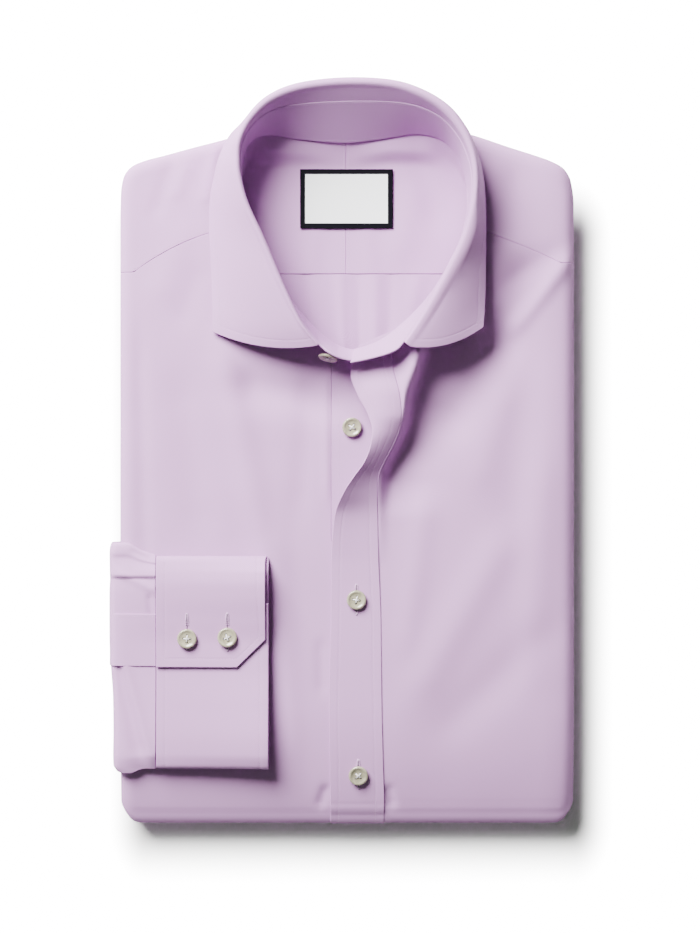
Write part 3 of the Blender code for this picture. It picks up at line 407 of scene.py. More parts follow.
def curve(knots, values, at):
    """Cubic curve through values at rising knots, read at places within them."""
    at = np.clip(at, knots[0], knots[-1])
    slopes = even_slopes(knots, values)
    start = np.clip(np.searchsorted(knots, at, side="right") - 1, 0, len(knots) - 2)
    step = knots[start + 1] - knots[start]
    t = (at - knots[start]) / step
    if values.ndim > 1:
        shape = (-1,) + (1,) * (values.ndim - 1)
        t = t.reshape(shape)
        step = step.reshape(shape)
    low = (2 * t ** 3 - 3 * t ** 2 + 1) * values[start] + (t ** 3 - 2 * t ** 2 + t) * step * slopes[start]
    high = (3 * t ** 2 - 2 * t ** 3) * values[start + 1] + (t ** 3 - t ** 2) * step * slopes[start + 1]
    return low + high


def resample(grid, axis, step, near_edge):
    """The grid on a smooth curve along one axis, at an even step and closer places near its ends."""
    lines = np.moveaxis(grid, axis, 0)
    runs = np.linalg.norm(np.diff(lines, axis=0), axis=2).mean(axis=1)
    knots = np.concatenate(([0.0], np.cumsum(runs)))
    length = knots[-1]
    count = max(int(round(length / step)), 2)
    at = set(np.round(np.linspace(0.0, length, count + 1), 4))
    at |= {round(place, 4) for place in near_edge if place < 0.45 * length}
    at |= {round(length - place, 4) for place in near_edge if place < 0.45 * length}
    places = sorted(at)
    kept = [places[0]]
    for place in places[1:]:
        if place - kept[-1] > 0.07:
            kept.append(place)
    kept[-1] = length
    return np.moveaxis(curve(knots, lines, np.array(kept)), 0, axis)


def edge_distance(grid, open_sides):
    """Way along the cloth from each point to the nearest of some sides, and from its top and left."""
    down = np.linalg.norm(np.diff(grid, axis=0), axis=2)
    across = np.linalg.norm(np.diff(grid, axis=1), axis=2)
    row_run = np.concatenate([np.zeros((1, grid.shape[1])), np.cumsum(down, axis=0)])
    column_run = np.concatenate([np.zeros((grid.shape[0], 1)), np.cumsum(across, axis=1)], axis=1)
    ways = (row_run, row_run[-1:] - row_run, column_run, column_run[:, -1:] - column_run)
    far = dict(zip(SIDES, ways))
    return np.min([far[side] for side in open_sides], axis=0), row_run, column_run


def grid_normals(grid, face=1.0):
    """Outward unit normals of a grid of points."""
    normals = np.cross(np.gradient(grid, axis=1), np.gradient(grid, axis=0)) * face
    return normals / np.maximum(np.linalg.norm(normals, axis=2, keepdims=True), 1e-9)


def waves(x, y, seed, size):
    """Slow uneven swell from -1 to 1, as a sum of a few slanting waves about so many mm long."""
    rng = np.random.default_rng(seed)
    total = np.zeros_like(x)
    for _ in range(7):
        turn = rng.uniform(0, math.pi)
        pitch = size * rng.uniform(0.6, 1.7)
        phase = rng.uniform(0, 2 * math.pi)
        total += np.sin(2 * math.pi * (x * math.cos(turn) + y * math.sin(turn)) / pitch + phase)
    return total / 4.0


def crease_height(x, y, creases):
    """Sum of the creases: soft ridges, or troughs where the height is negative."""
    total = np.zeros_like(x)
    for x0, y0, x1, y1, width, height in creases:
        along = np.array((x1 - x0, y1 - y0))
        length = np.hypot(*along)
        along = along / length
        run = (x - x0) * along[0] + (y - y0) * along[1]
        off = (x - x0) * -along[1] + (y - y0) * along[0]
        past = np.maximum(np.maximum(-run, run - length), 0.0) / (0.35 * length + width)
        total += height * np.exp(-(off / width) ** 2) * np.exp(-past ** 2 * 3)
    return total


def shoulder_sag(x, y):
    """How far the pack's face has dropped where it nears the bottom fold and the right side."""
    low = np.clip((FOLD_SAG_FROM - y) / FOLD_SAG_RUN, 0.0, 1.0) ** 2
    right = np.clip((x - SIDE_SAG_FROM) / SIDE_SAG_RUN, 0.0, 1.0) ** 2
    return FOLD_SAG * low + SIDE_SAG * right


def upper_share(z):
    """1 for what lies in the pack's face, 0 for what lies under it, and between them in its edge."""
    return np.clip((z - UPPER_FROM) / UPPER_RUN, 0.0, 1.0)


class Cloth:
    """A fine grid of one piece of cloth, with what its mesh, hems and stitches need."""

    def __init__(self, grid, face, step, thickness, near_edge=()):
        close = [EDGE_ROUNDING * thickness * share for share in EDGE_PLACES] + list(near_edge)
        self.grid = resample(resample(grid, 0, step, close), 1, step, close)
        self.face = face
        self.thickness = thickness
        self.normals = grid_normals(self.grid, face)

    def relief(self, height, creases, swell, size, seed):
        """Creases and an uneven swell on the side that faces up, and the swell alone below."""
        x, y = self.grid[..., 0], self.grid[..., 1]
        above = np.clip(self.normals[..., 2], 0.0, 1.0) ** 2
        total = swell * waves(x, y, seed, size) * np.abs(self.normals[..., 2]) + height
        total += above * crease_height(x, y, creases)
        self.grid = self.grid + self.normals * total[..., None]
        self.normals = grid_normals(self.grid, self.face)

    def raise_by(self, heights):
        """Raises points straight up by a height at each."""
        self.grid[..., 2] += heights
        self.normals = grid_normals(self.grid, self.face)

    def sag(self):
        """Lets the face down near the bottom fold and the right side."""
        x, y, z = np.moveaxis(self.grid, 2, 0)
        self.raise_by(-shoulder_sag(x, y) * upper_share(z))

    def groove(self, sides, distance):
        """Height of the groove along rows of stitches, at a distance from some sides."""
        gap = edge_distance(self.grid, sides)[0]
        return -GROOVE_DEPTH * np.exp(-((gap - distance) / GROOVE_WIDTH) ** 2)

    def line(self, side, distance):
        """Points and normals of a line on the face at a distance from one of its sides."""
        grid, normals = self.grid, self.normals
        if side in ("top", "bottom"):
            grid, normals = np.swapaxes(grid, 0, 1), np.swapaxes(normals, 0, 1)
        if side in ("bottom", "right"):
            grid, normals = grid[:, ::-1], normals[:, ::-1]
        points = []
        facing = []
        for row, row_normals in zip(grid, normals):
            runs = path_runs(row)
            points.append(on_path(distance, runs, row))
            facing.append(on_path(distance, runs, row_normals))
        return np.array(points), np.array(facing)


def path_runs(path):
    """Way along a path of points to each of them."""
    return np.concatenate(([0.0], np.cumsum(np.linalg.norm(np.diff(path, axis=0), axis=1))))


def on_path(way, runs, values):
    """What three columns of values along a path come to, some way along it."""
    return np.array([np.interp(way, runs, values[:, k]) for k in range(3)])


def ease(value):
    """Smooth step from 0 to 1."""
    held = min(max(value, 0.0), 1.0)
    return held * held * (3 - 2 * held)


def arch(share):
    """A bow from 0 at both ends to 1 in the middle."""
    return 4 * share * (1 - share)


def smooth_row(table, place):
    """The table's row at a fractional index, on a smooth curve through the rows."""
    rows = np.array(table, float)
    last = len(rows) - 1
    start = min(int(math.floor(place)), last - 1)
    t = place - start
    before, here, there, after = (rows[min(max(start + step, 0), last)] for step in (-1, 0, 1, 2))
    bend = 2 * before - 5 * here + 4 * there - after
    twist = 3 * (here - there) + after - before
    return 0.5 * (2 * here + (there - before) * t + bend * t * t + twist * t ** 3)


NECK_SEAM = [row[3:6] for row in STAND_LEFT_END + COLLAR + STAND_RIGHT_END]


def neck_point(place):
    """Neck seam x, y, z at a station, from the stand's left end to its right end."""
    return smooth_row(NECK_SEAM, place)


def folded(x, run, depth):
    """A point at a depth under the pack's face, where run is the way past the bottom fold's axis."""
    if run <= 0:
        return (x, FOLD_AXIS_Y - run, PACK_TOP - depth)
    if run < FOLD_LENGTH:
        turn = run / FOLD_RADIUS
        reach = FOLD_RADIUS - depth
        return (x, FOLD_AXIS_Y - reach * math.sin(turn), FOLD_RADIUS + reach * math.cos(turn))
    return (x, FOLD_AXIS_Y + run - FOLD_LENGTH, depth)


def fold_runs():
    """Runs of the rows round the bottom fold and along the underside to the hem."""
    turns = [FOLD_LENGTH * step / 14 for step in range(1, 15)]
    return turns + [FOLD_LENGTH + reach for reach in (5.0, 15.0, 45.0, 120.0, 240.0)] + [HEM_RUN]


def corner_inset(run):
    """How far the side edge draws in round the bottom fold."""
    if run <= 0 or run >= FOLD_LENGTH:
        return 0.0
    return CORNER_INSET * math.sin(run / FOLD_RADIUS) ** 2


def edge_row(inner, edge, outward, columns, bow, lift=0.0):
    """One row of a front or yoke: down from its seam, across the flat, then round the folded edge."""
    reach = float((edge - inner[:2]) @ outward)
    tight = min((reach - 1.0) / EDGE_SECTION[0][0], 1.0)
    flat_end = edge - outward * EDGE_SECTION[0][0] * tight
    row = []
    for column in range(columns):
        share = (column / columns) ** LEFT_CROWDING
        x, y = inner[:2] + (flat_end - inner[:2]) * share
        y += bow * arch(share)
        row.append(folded(x, FOLD_AXIS_Y - y, -lift * (1 - ease(share * SEAM_FALL))))
    for inset, depth in EDGE_SECTION:
        x, y = edge - outward * inset * tight
        row.append(folded(x, FOLD_AXIS_Y - y, depth))
    return row


def run_row(inner_x, edge_x, side, run, columns, crowding):
    """One row of a front where it is flat, goes round the bottom fold or lies along the underside."""
    edge_x -= side * corner_inset(run)
    flat_end = edge_x - side * EDGE_SECTION[0][0]
    row = []
    for column in range(columns):
        row.append(folded(inner_x + (flat_end - inner_x) * (column / columns) ** crowding, run, 0.0))
    for inset, depth in EDGE_SECTION:
        row.append(folded(edge_x - side * inset, run, depth))
    return row


def placket_free_x(y):
    return lookup(PLACKET, y, 1)


def placket_seam_x(y):
    """X of the right-hand front beside the placket, clear of the placket's tilted edge."""
    _, free_x, free_z, seam_x, seam_z, bow = (lookup(PLACKET, y, column) for column in range(6))
    slope = max((seam_z - free_z - 4 * bow) / (seam_x - free_x), 0.0)
    tuck = 2.0 * ease((-42.0 - y) / 18.0)
    return seam_x + 0.08 - tuck + 0.75 * slope / math.hypot(slope, 1.0)


def front_left():
    columns = 24
    neck_rows = 16
    under_placket = 2.5
    grid = []
    for index in range(neck_rows + 1):
        part = index / neck_rows
        inner = neck_point(SHOULDER_LEFT + (NECK_LEFT_FRONT - SHOULDER_LEFT) * part)
        lift = max(inner[2] - STAND_CLOTH * 0.55 - SEAM_GAP - PACK_TOP, 0.0)
        if index == 0:
            inner = inner - np.array((0.0, 0.05, 0.0))
        edge = np.array((LEFT_EDGE, 107.45 - 52.0 * part))
        bow = LEFT_SHOULDER_BOW * (1 - part) ** 2
        grid.append(edge_row(inner, edge, np.array((-1.0, 0.0)), columns, bow, lift))
    rows = (48.0, 40.0, 25.0, 10.0, -5.0, -20.0, -35.0, -47.0, -53.0, -62.0, -76.0, -90.0, -144.0)
    for y in rows:
        inner_x = BAND_LEFT - 0.04 if y > BAND_BOTTOM_Y - 2.0 else placket_free_x(y) + under_placket
        grid.append(run_row(inner_x, LEFT_EDGE, -1.0, FOLD_AXIS_Y - y, columns, LEFT_CROWDING))
    inner_x = placket_free_x(FOLD_AXIS_Y) + under_placket
    for run in [0.0] + fold_runs():
        grid.append(run_row(inner_x, LEFT_EDGE, -1.0, run, columns, LEFT_CROWDING))
    return np.array(grid, float)


def button_band():
    """The strip that carries the buttons, up to where the placket lies flat over it."""
    grid = []
    for index in range(8):
        row = []
        for step in range(4):
            x = BAND_LEFT + (BAND_RIGHT - BAND_LEFT) * step / 3
            start = np.interp(x, (-7.0, -1.5, 6.0, 18.0), (68.0, 64.8, 61.8, 60.0))
            row.append((x, start + (BAND_BOTTOM_Y - start) * index / 7, PACK_TOP))
        grid.append(row)
    return np.array(grid, float)


def ridge_height(x, y, seam_x, seam_z):
    """Height of the right-hand front between the placket seam, the ridge and the flat pack."""
    ridge_x = max(lookup(RIDGE, y, 1), seam_x + 0.6)
    ridge_z = max(lookup(RIDGE, y, 2), PACK_TOP)
    width = lookup(RIDGE, y, 3)
    if x <= ridge_x:
        return seam_z + (ridge_z - seam_z) * ease((x - seam_x) / (ridge_x - seam_x))
    wall = 1 - ease((x - ridge_x) / RIDGE_WALL)
    tail = (1 - ease((x - ridge_x) / width)) ** 2
    rise = ridge_z - PACK_TOP
    hollow = VALLEY_DEPTH * ease((y + 36.0) / 24.0) * ease((80.0 - y) / 30.0)
    beyond = x - ridge_x - VALLEY_OFFSET
    hollow *= math.exp(-(beyond / VALLEY_WIDTHS[int(beyond > 0)]) ** 2)
    return PACK_TOP + rise * (RIDGE_WALL_SHARE * wall + (1 - RIDGE_WALL_SHARE) * tail) - hollow


def right_row(inner, edge_y, columns, bow):
    """One row of the right-hand front, with its points drawn together at the ridge."""
    seam_x, seam_y, seam_z = inner
    flat_end = RIGHT_EDGE - EDGE_SECTION[0][0]
    row = []
    for column in range(columns):
        share = (column / columns) ** RIGHT_CROWDING
        x = seam_x + (flat_end - seam_x) * share
        y = seam_y + (edge_y - seam_y) * share + bow * arch(share)
        row.append((x, y, ridge_height(x, y, seam_x, seam_z)))
    for inset, depth in EDGE_SECTION:
        row.append((RIGHT_EDGE - inset, edge_y, PACK_TOP - depth))
    return row


def front_right():
    columns = 36
    neck_rows = 18
    grid = []
    for index in range(neck_rows + 1):
        part = index / neck_rows
        inner = neck_point(SHOULDER_RIGHT + (NECK_PLACKET - SHOULDER_RIGHT) * part)
        inner[2] = PACK_TOP + max(inner[2] - STAND_DROP - PACK_TOP, 0.0)
        if index == 0:
            inner[1] -= 0.05
        bow = RIGHT_SHOULDER_BOW * (1 - part) ** 2
        grid.append(right_row(inner, 112.95 - 44.0 * part, columns, bow))
    for y in [*np.arange(58.0, -60.0, -3.5), -62.0, -75.0, -90.0, -144.0]:
        seam_z = min(lookup(PLACKET, y, 4), lookup(RIDGE, y, 2))
        inner = (placket_seam_x(y), y, max(seam_z, PACK_TOP))
        edge_y = y if y < -20.0 else y + 8.0 * (y + 20.0) / 78.0
        grid.append(right_row(inner, edge_y, columns, 0.0))
    seam_x = placket_seam_x(FOLD_AXIS_Y)
    for run in [0.0] + fold_runs():
        grid.append(run_row(seam_x, RIGHT_EDGE, 1.0, run, columns, RIGHT_CROWDING))
    return np.array(grid, float)


def placket():
    """The buttonhole strip: turned up towards the collar, then flat to the fold and under it."""
    columns = 10
    grid = []
    for y in [*np.arange(66.0, -62.0, -2.5), -62.0, -75.0, -90.0, -120.0, -144.0, -180.0, FOLD_AXIS_Y]:
        free_x, free_z, seam_x, seam_z, bow = (lookup(PLACKET, y, column) for column in range(1, 6))
        row = []
        for column in range(columns + 1):
            share = column / columns
            slant = 7.6 * share * ease((y - 48.0) / 18.0)
            start = -1.4 * (1 - share) * ease((y - 58.0) / 8.0)
            z = free_z + (seam_z - free_z) * share + bow * arch(share)
            row.append((free_x + (seam_x - free_x) * share, y + slant + start, z))
        grid.append(row)
    xs = np.linspace(PLACKET[-1][1], PLACKET[-1][3], columns + 1)
    for run in fold_runs():
        proud = PLACKET_PROUD * (1 - ease(run / FOLD_LENGTH))
        grid.append([folded(x, run, -proud) for x in xs])
    return np.array(grid, float)


def yoke_row(index, shift=0.0):
    """Neck station, pack edge and outward direction of one row of the outer yoke."""
    table = np.array([row[:2] for row in SHOULDER_OUTLINE])
    last = len(table) - 1
    along = table[min(index + 1, last)] - table[max(index - 1, 0)]
    square = {0: (-1.0, 0.0), CENTRE_BACK_ROW: (0.0, 1.0), last: (1.0, 0.0)}
    outward = np.array((-along[1], along[0])) / np.hypot(*along)
    if index in square:
        outward = np.array(square[index])
    return SHOULDER_OUTLINE[index][2], table[index] + np.array((shift, 0.0)), outward


def outer_yoke(rows, centre_shift, bow_row, bow):
    grid = []
    for index in rows:
        shift = centre_shift if index == CENTRE_BACK_ROW else 0.0
        station, edge, outward = yoke_row(index, shift)
        inner = neck_point(station) + np.array((shift, 0.0, 0.0))
        bend = bow * max(1 - abs(index - bow_row) / 3, 0.0)
        grid.append(edge_row(inner, edge, outward, 14, bend))
    return np.array(grid, float)


def inner_height(y):
    """Height of the inside of the yoke and back, seen through the neck."""
    low, high = NECK_RISE_Y
    return NECK_FLOOR + (NECK_BACK_TOP - NECK_FLOOR) * ease((y - low) / (high - low))


def neck_side(y, side):
    """X of the neck seam at a y, on the left (-1) or right (1) side."""
    places = np.arange(0, 11.01, 0.25) if side < 0 else np.arange(17.0, 30.01, 0.25)
    points = np.array([neck_point(place) for place in places])
    order = np.argsort(points[:, 1])
    return float(np.interp(y, points[order, 1], points[order, 0]))


def inner_seam_point(place):
    """A point just beside the neck seam, in plan."""
    point = neck_point(place)[:2]
    towards = NECK_CENTRE - point
    return point + INNER_SEAM_INSET * towards / np.hypot(*towards)


def inner_yoke(side, from_x):
    """Half of the inner yoke: its hem, the neck seam it is sewn to and its side under the fronts."""
    columns = 6
    rows = 9
    last = NECK_CENTRE_BACK + side * INNER_YOKE_STATIONS
    side_top = neck_point(last)[1]
    grid = []
    for up in (row / rows for row in range(rows + 1)):
        row = []
        for across in (column / columns for column in range(columns + 1)):
            hem_x = from_x + (neck_side(YOKE_HEM_Y, side) + 4.0 * side - from_x) * across
            hem = np.array((hem_x, YOKE_HEM_Y))
            place = NECK_CENTRE_BACK + (last - NECK_CENTRE_BACK) * across
            top = inner_seam_point(place)
            top[0] += (from_x - top[0]) * (1 - across) ** 4
            x, y = hem + (top - hem) * up
            if across == 1:
                y = YOKE_HEM_Y + (side_top - YOKE_HEM_Y) * up
                x = neck_side(y, side) + (4.0 - 2.5 * ease((y - 145.0) / (side_top - 145.0))) * side
            height = inner_height(y)
            sewn = neck_point(place)[2] - 0.5
            height += max(sewn - height, 0.0) * ease((up - 0.92) / 0.08) * ease((across - 0.2) / 0.5)
            row.append((x, y, height))
        x, y, z = row[-1]
        row.append((x + 2.0 * side, y, max(min(z + 2.0, 26.0), z)))
        row.append((x + 4.0 * side, y, max(26.5, z)))
        grid.append(row)
    return np.array(grid, float)


def back_inner():
    """The inside of the back below the yoke, and where it turns up to meet the fronts."""
    turned_up = 3.6
    grid = []
    rows = [(y, 0.0) for y in np.linspace(YOKE_HEM_Y - SEAM_GAP, BACK_END_Y, 7)]
    rows += [(BACK_END_Y - 2.0, 2.0), (BACK_END_Y - 4.0, turned_up)]
    for y, rise in rows:
        left = neck_side(y, -1) - 3.5
        right = neck_side(y, 1) + 3.5
        row = [(left - 4.0, y, NECK_FLOOR + turned_up), (left - 2.0, y, NECK_FLOOR + max(rise, 2.0))]
        row += [(x, y, NECK_FLOOR + rise) for x in np.linspace(left, right, 7)]
        row += [(right + 2.0, y, NECK_FLOOR + max(rise, 2.0)), (right + 4.0, y, NECK_FLOOR + turned_up)]
        grid.append(row)
    return np.array(grid, float)


def neck_label():
    """The bare label, moved out from the inner yoke that it lies on."""
    left, right, lower, upper = LABEL_BOX
    grid = []
    for y in np.linspace(upper, lower, 5):
        height = inner_height(y) + LABEL_SEAT + LABEL_CLOTH
        grid.append([(x, y, height) for x in np.linspace(left, right, 3)])
    return np.array(grid, float)


def rim_outward(place):
    """Level direction out of the collar, square to its rim."""
    step = 0.3
    ahead = smooth_row(COLLAR, min(place + step, LAST_STATION))[:2]
    behind = smooth_row(COLLAR, max(place - step, 0))[:2]
    along = (ahead - behind) / np.hypot(*(ahead - behind))
    return np.array((-along[1], along[0], 0.0))


def roll_size(place):
    """Half width and drop of the roll where the collar turns over."""
    end = ease(min(place, LAST_STATION - place) / 2.5)
    back = ease((place - 7.0) / 3.0) * ease((17.0 - place) / 3.0)
    ends, sides, rear = (np.array(size) for size in ROLL_SIZES)
    return ends + (sides - ends) * end + (rear - sides) * back


def stand_line(place):
    """Neck seam, inner rim and the share that the stand takes, at a station of the collar leaf."""
    row = smooth_row(COLLAR, place)
    rim, seam, share = row[0:3], row[3:6], row[9]
    half_width, drop = roll_size(place)
    inner_rim = rim - half_width * rim_outward(place)
    inner_rim[2] -= drop
    return seam, inner_rim, share


def stations():
    """Stations of the collar leaf, from its left end round the back to its right end."""
    return np.arange(0, LAST_STATION + 0.05, STATION_STEP)


def collar_stand():
    lines = [(np.array(row[3:6]), np.array(row[0:3])) for row in [STAND_LEFT_TIP] + STAND_LEFT_END]
    for place in stations():
        seam, inner_rim, share = stand_line(place)
        lines.append((seam, seam + share * (inner_rim - seam)))
    lines += [(np.array(row[3:6]), np.array(row[0:3])) for row in STAND_RIGHT_END]
    return np.array([[seam + (top - seam) * step / 4 for step in range(5)] for seam, top in lines])


def leaf_section(place):
    """Outer face of the collar leaf at a station: up inside, over the rim and down to its edge."""
    row = smooth_row(COLLAR, place)
    rim, edge, bow = row[0:3], row[6:9], row[10]
    out = rim_outward(place)
    up = np.array((0.0, 0.0, 1.0))
    seam, inner_rim, share = stand_line(place)
    slope = inner_rim - seam
    start = seam + share * slope - slope / np.linalg.norm(slope) * 0.9 + 0.45 * out
    half_width, drop = roll_size(place)
    outer_half = half_width + ROLL_SOFTENED * ease((place - 17.5) / 1.5)
    outer_rim = rim + outer_half * out - drop * up
    section = [
        start, 0.5 * (start + inner_rim), inner_rim, rim - 0.57 * half_width * out - 0.3 * drop * up, rim,
        rim + 0.55 * outer_half * out - 0.3 * drop * up, outer_rim,
    ]
    bulge = FRONT_EDGE_BULGE * (1 - ease(min(place, LAST_STATION - place) / 2.6))
    fall = edge - outer_rim
    level = np.array((fall[0], fall[1], 0.0))
    level = level / max(np.linalg.norm(level), 1.0)
    swell = level * -fall[2] + up * np.hypot(fall[0], fall[1])
    swell = swell / np.linalg.norm(swell)
    for share in (column / 9 for column in range(1, 10)):
        bent = swell * bow * arch(share) - bulge * arch(share) * DOWN_THE_FRONT
        section.append(outer_rim + fall * share + bent)
    return section


def collar_leaf():
    return np.array([leaf_section(place) for place in stations()], float)


def half_turn(y, z, radius, side):
    """Points in Y and Z round half a circle, from its top down on one side or from its foot up."""
    turns = [math.pi * step / 6 for step in range(7)]
    return [(y + side * radius * math.sin(turn), z + side * radius * math.cos(turn)) for turn in turns]


def cuff_section(end_y):
    """The cuff's strip in Y and Z: from the end that shows, over the top fold and back under it."""
    low = PACK_TOP + SEAM_GAP
    base = low + CUFF_CLOTH
    under = base + SEAM_GAP + CUFF_CLOTH
    top = under + SEAM_GAP + CUFF_CLOTH
    outer = 0.5 * (top - low)
    inner = 0.5 * (under - low)
    fold_y = CUFF_TOP_Y - outer
    turn_y = CUFF_BOTTOM_Y + inner
    section = [(end_y + (fold_y - end_y) * step / 5, top) for step in range(5)]
    section += half_turn(fold_y, top - outer, outer, 1)
    section += [(fold_y + (turn_y - fold_y) * step / 5, low) for step in range(1, 5)]
    section += half_turn(turn_y, low + inner, inner, -1)
    section += [(turn_y + (CUFF_UNDERLAP_Y - turn_y) * step / 4, under) for step in range(1, 5)]
    return section


def cuff():
    grid = []
    flat_xs = np.linspace(CUFF_LEFT, CUFF_MITRE_X, 20)
    for x in [*flat_xs, *np.linspace(CUFF_MITRE_X, CUFF_RIGHT, 12)[1:]]:
        share = (x - CUFF_LEFT) / (CUFF_RIGHT - CUFF_LEFT)
        past = max((x - CUFF_MITRE_X) / (CUFF_RIGHT - CUFF_MITRE_X), 0.0)
        section = cuff_section(CUFF_END_Y + (CUFF_MITRE_Y - CUFF_END_Y) * past)
        wide = (CUFF_UNDER_RIGHT - CUFF_RIGHT) * share
        grid.append([(x + wide * ease((index - 5) / 6), y, z) for index, (y, z) in enumerate(section)])
    return np.array(grid, float)


def sleeve_section(rise):
    """The flattened sleeve in X and Z: from its tuck in the slit, round the edge, to the cuff seam."""
    low = HALF_HEIGHT + 0.4
    top = PACK_TOP + SEAM_GAP + SLEEVE_CLOTH + rise
    middle = 0.5 * (low + top)
    half = 0.5 * (top - low)
    start = SLEEVE_EDGE + SLEEVE_EDGE_DEPTH
    section = [(SLEEVE_TUCK_X, low), (start, low)]
    for turn in (math.pi * step / 9 for step in range(1, 9)):
        bulge = SLEEVE_EDGE_DEPTH * math.sin(turn) ** 0.55
        section.append((start - bulge, middle - half * math.cos(turn)))
    return section + [(start, top), (0.5 * (start + CUFF_LEFT), top), (CUFF_LEFT - SEAM_GAP, top)]


def sleeve_slant(x, y):
    """How far the sleeve's ends run down towards the cuff, and sag at the lower corner."""
    inward = ease((x + 125.0) / 15.0)
    top = -7.0 * inward * ease((y + 66.0) / 15.0)
    corner = math.exp(-((x + 127.5) / 6.5) ** 2)
    return top + (1.8 * inward - 1.5 * corner) * ease((-166.0 - y) / 12.0)


def sleeve_bulge(x, y):
    """How far a point of the sleeve moves left, where the sleeve's folded edge is not straight."""
    return lookup(SLEEVE_SIDE, y, 1) * ease((-119.0 - x) / 9.0)


def sleeve():
    grid = []
    for y, rise in SLEEVE_STEPS:
        section = sleeve_section(rise)
        grid.append([(x - sleeve_bulge(x, y), y + sleeve_slant(x, y), z) for x, z in section])
    return np.array(grid, float)


def sleeve_placket():
    """The strip round the sleeve's opening, made from the sleeve's section, moved out."""
    grid = []
    for y in np.linspace(GAUNTLET_TOP_Y, GAUNTLET_BOTTOM_Y, 4):
        section = sleeve_section(lookup(SLEEVE_STEPS, y, 1))[5:]
        grid.append([(x - 0.55 * sleeve_bulge(x, -100.0), y, z) for x, z in section])
    grid = np.array(grid)
    return grid - (SEAM_GAP + 0.45) * grid_normals(grid)


def cuff_lift(x, y):
    """How far the cuff stands off the front: a soft swell down it, and more towards its right side."""
    along = np.clip((x - CUFF_LEFT) / (CUFF_RIGHT - CUFF_LEFT), 0.0, 1.0)
    down = np.clip((CUFF_TOP_Y - y) / (CUFF_TOP_Y - CUFF_BOTTOM_Y), 0.0, 1.0)
    swell = curve(CUFF_SWELL[:, 0], CUFF_SWELL[:, 1], np.ravel(down)).reshape(np.shape(down))
    joined = np.clip((x - SLEEVE_EDGE) / (CUFF_LEFT - SLEEVE_EDGE), 0.0, 1.0)
    side = CUFF_SIDE_LIFT * along ** 2.2 * np.clip(down / 0.07, 0.0, 1.0)
    return ((0.55 + 0.45 * along) * swell + side) * joined


def core_ring(index):
    """One level of the folded layers, as points round the pack."""
    inset, height = CORE_SIDE[index]
    inner_radius = FOLD_RADIUS - CLOTH - CORE_FOLD_GAP
    sag = FOLD_RADIUS - height
    fold_inset = FOLD_RADIUS - math.sqrt(max(inner_radius ** 2 - sag ** 2, 0.0))
    bottom_y = FOLD_AXIS_Y - FOLD_RADIUS + fold_inset
    xs = np.linspace(RIGHT_EDGE - CORE_CORNER, LEFT_EDGE + CORE_CORNER, 7)
    ring = [(x, bottom_y, height) for x in xs]
    ring += [(LEFT_EDGE + inset, y, height) for y in CORE_SIDE_YS]
    for row in range(len(SHOULDER_OUTLINE)):
        _, edge, outward = yoke_row(row)
        x, y = edge - outward * inset
        if index < CORE_UPPER_FROM:
            y = min(y, CORE_HEM_Y - inset - 0.004 * abs(row - CENTRE_BACK_ROW))
        ring.append((x, y, height))
    return ring + [(RIGHT_EDGE - inset, y, height) for y in CORE_SIDE_YS[::-1]]


def mesh_piece(name, points, faces, look, uv=None):
    """A smooth-shaded mesh from points in mm, with the way along the cloth in metres as its map."""
    mesh = bpy.data.meshes.new(name)
    mesh.from_pydata((np.asarray(points) * MM).tolist(), [], faces)
    mesh.materials.append(look)
    mesh.shade_smooth()
    if uv is not None:
        layer = mesh.uv_layers.new(name="cloth")
        corners = np.zeros(len(mesh.loops), np.int32)
        mesh.loops.foreach_get("vertex_index", corners)
        layer.data.foreach_set("uv", (np.asarray(uv)[corners] * MM).astype(np.float32).ravel())
    mesh.update()
    made = bpy.data.objects.new(name, mesh)
    bpy.context.scene.collection.objects.link(made)
    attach(made, "root")
    return made


def grid_faces(index):
    """Faces of a grid of point numbers."""
    corners = (index[:-1, :-1], index[:-1, 1:], index[1:, 1:], index[1:, :-1])
    return np.stack([corner.ravel() for corner in corners], axis=1)


def ring_faces(first, rings, sides):
    """Faces between rings of points that follow one another from the first point on."""
    faces = []
    for start in range(first, first + (rings - 1) * sides, sides):
        for side in range(sides):
            a, b = start + side, start + (side + 1) % sides
            faces.append((a, b, b + sides, a + sides))
    return faces


def wall_faces(rows, columns, flip):
    """Faces of a closed wall of two grids, one after the other, and the strip round their edges."""
    index = np.arange(rows * columns).reshape(rows, columns)
    upper = grid_faces(index)
    under = upper[:, ::-1] + rows * columns
    border = np.concatenate([index[0, :-1], index[:-1, -1], index[-1, :0:-1], index[:0:-1, 0]])
    ahead = np.roll(border, -1)
    rim = np.stack([ahead, border, border + rows * columns, ahead + rows * columns], axis=1)
    faces = np.concatenate([upper, under, rim])
    if flip:
        faces = faces[:, ::-1]
    return faces.tolist()


def cloth_wall(name, cloth, look):
    """A piece of cloth as a thin wall whose edges are rounded, like a folded hem."""
    gap, row_run, column_run = edge_distance(cloth.grid, SIDES)
    radius = EDGE_ROUNDING * cloth.thickness
    short = np.clip(radius - gap, 0.0, radius)
    drop = (radius - np.sqrt(radius ** 2 - short ** 2))[..., None]
    upper = cloth.grid - cloth.normals * drop
    under = cloth.grid - cloth.normals * (cloth.thickness - drop)
    rows, columns = cloth.grid.shape[:2]
    uv = np.stack([column_run, -row_run], axis=2).reshape(-1, 2)
    points = np.concatenate([upper.reshape(-1, 3), under.reshape(-1, 3)])
    faces = wall_faces(rows, columns, cloth.face < 0)
    return mesh_piece(name, points, faces, look, np.concatenate([uv, uv]))


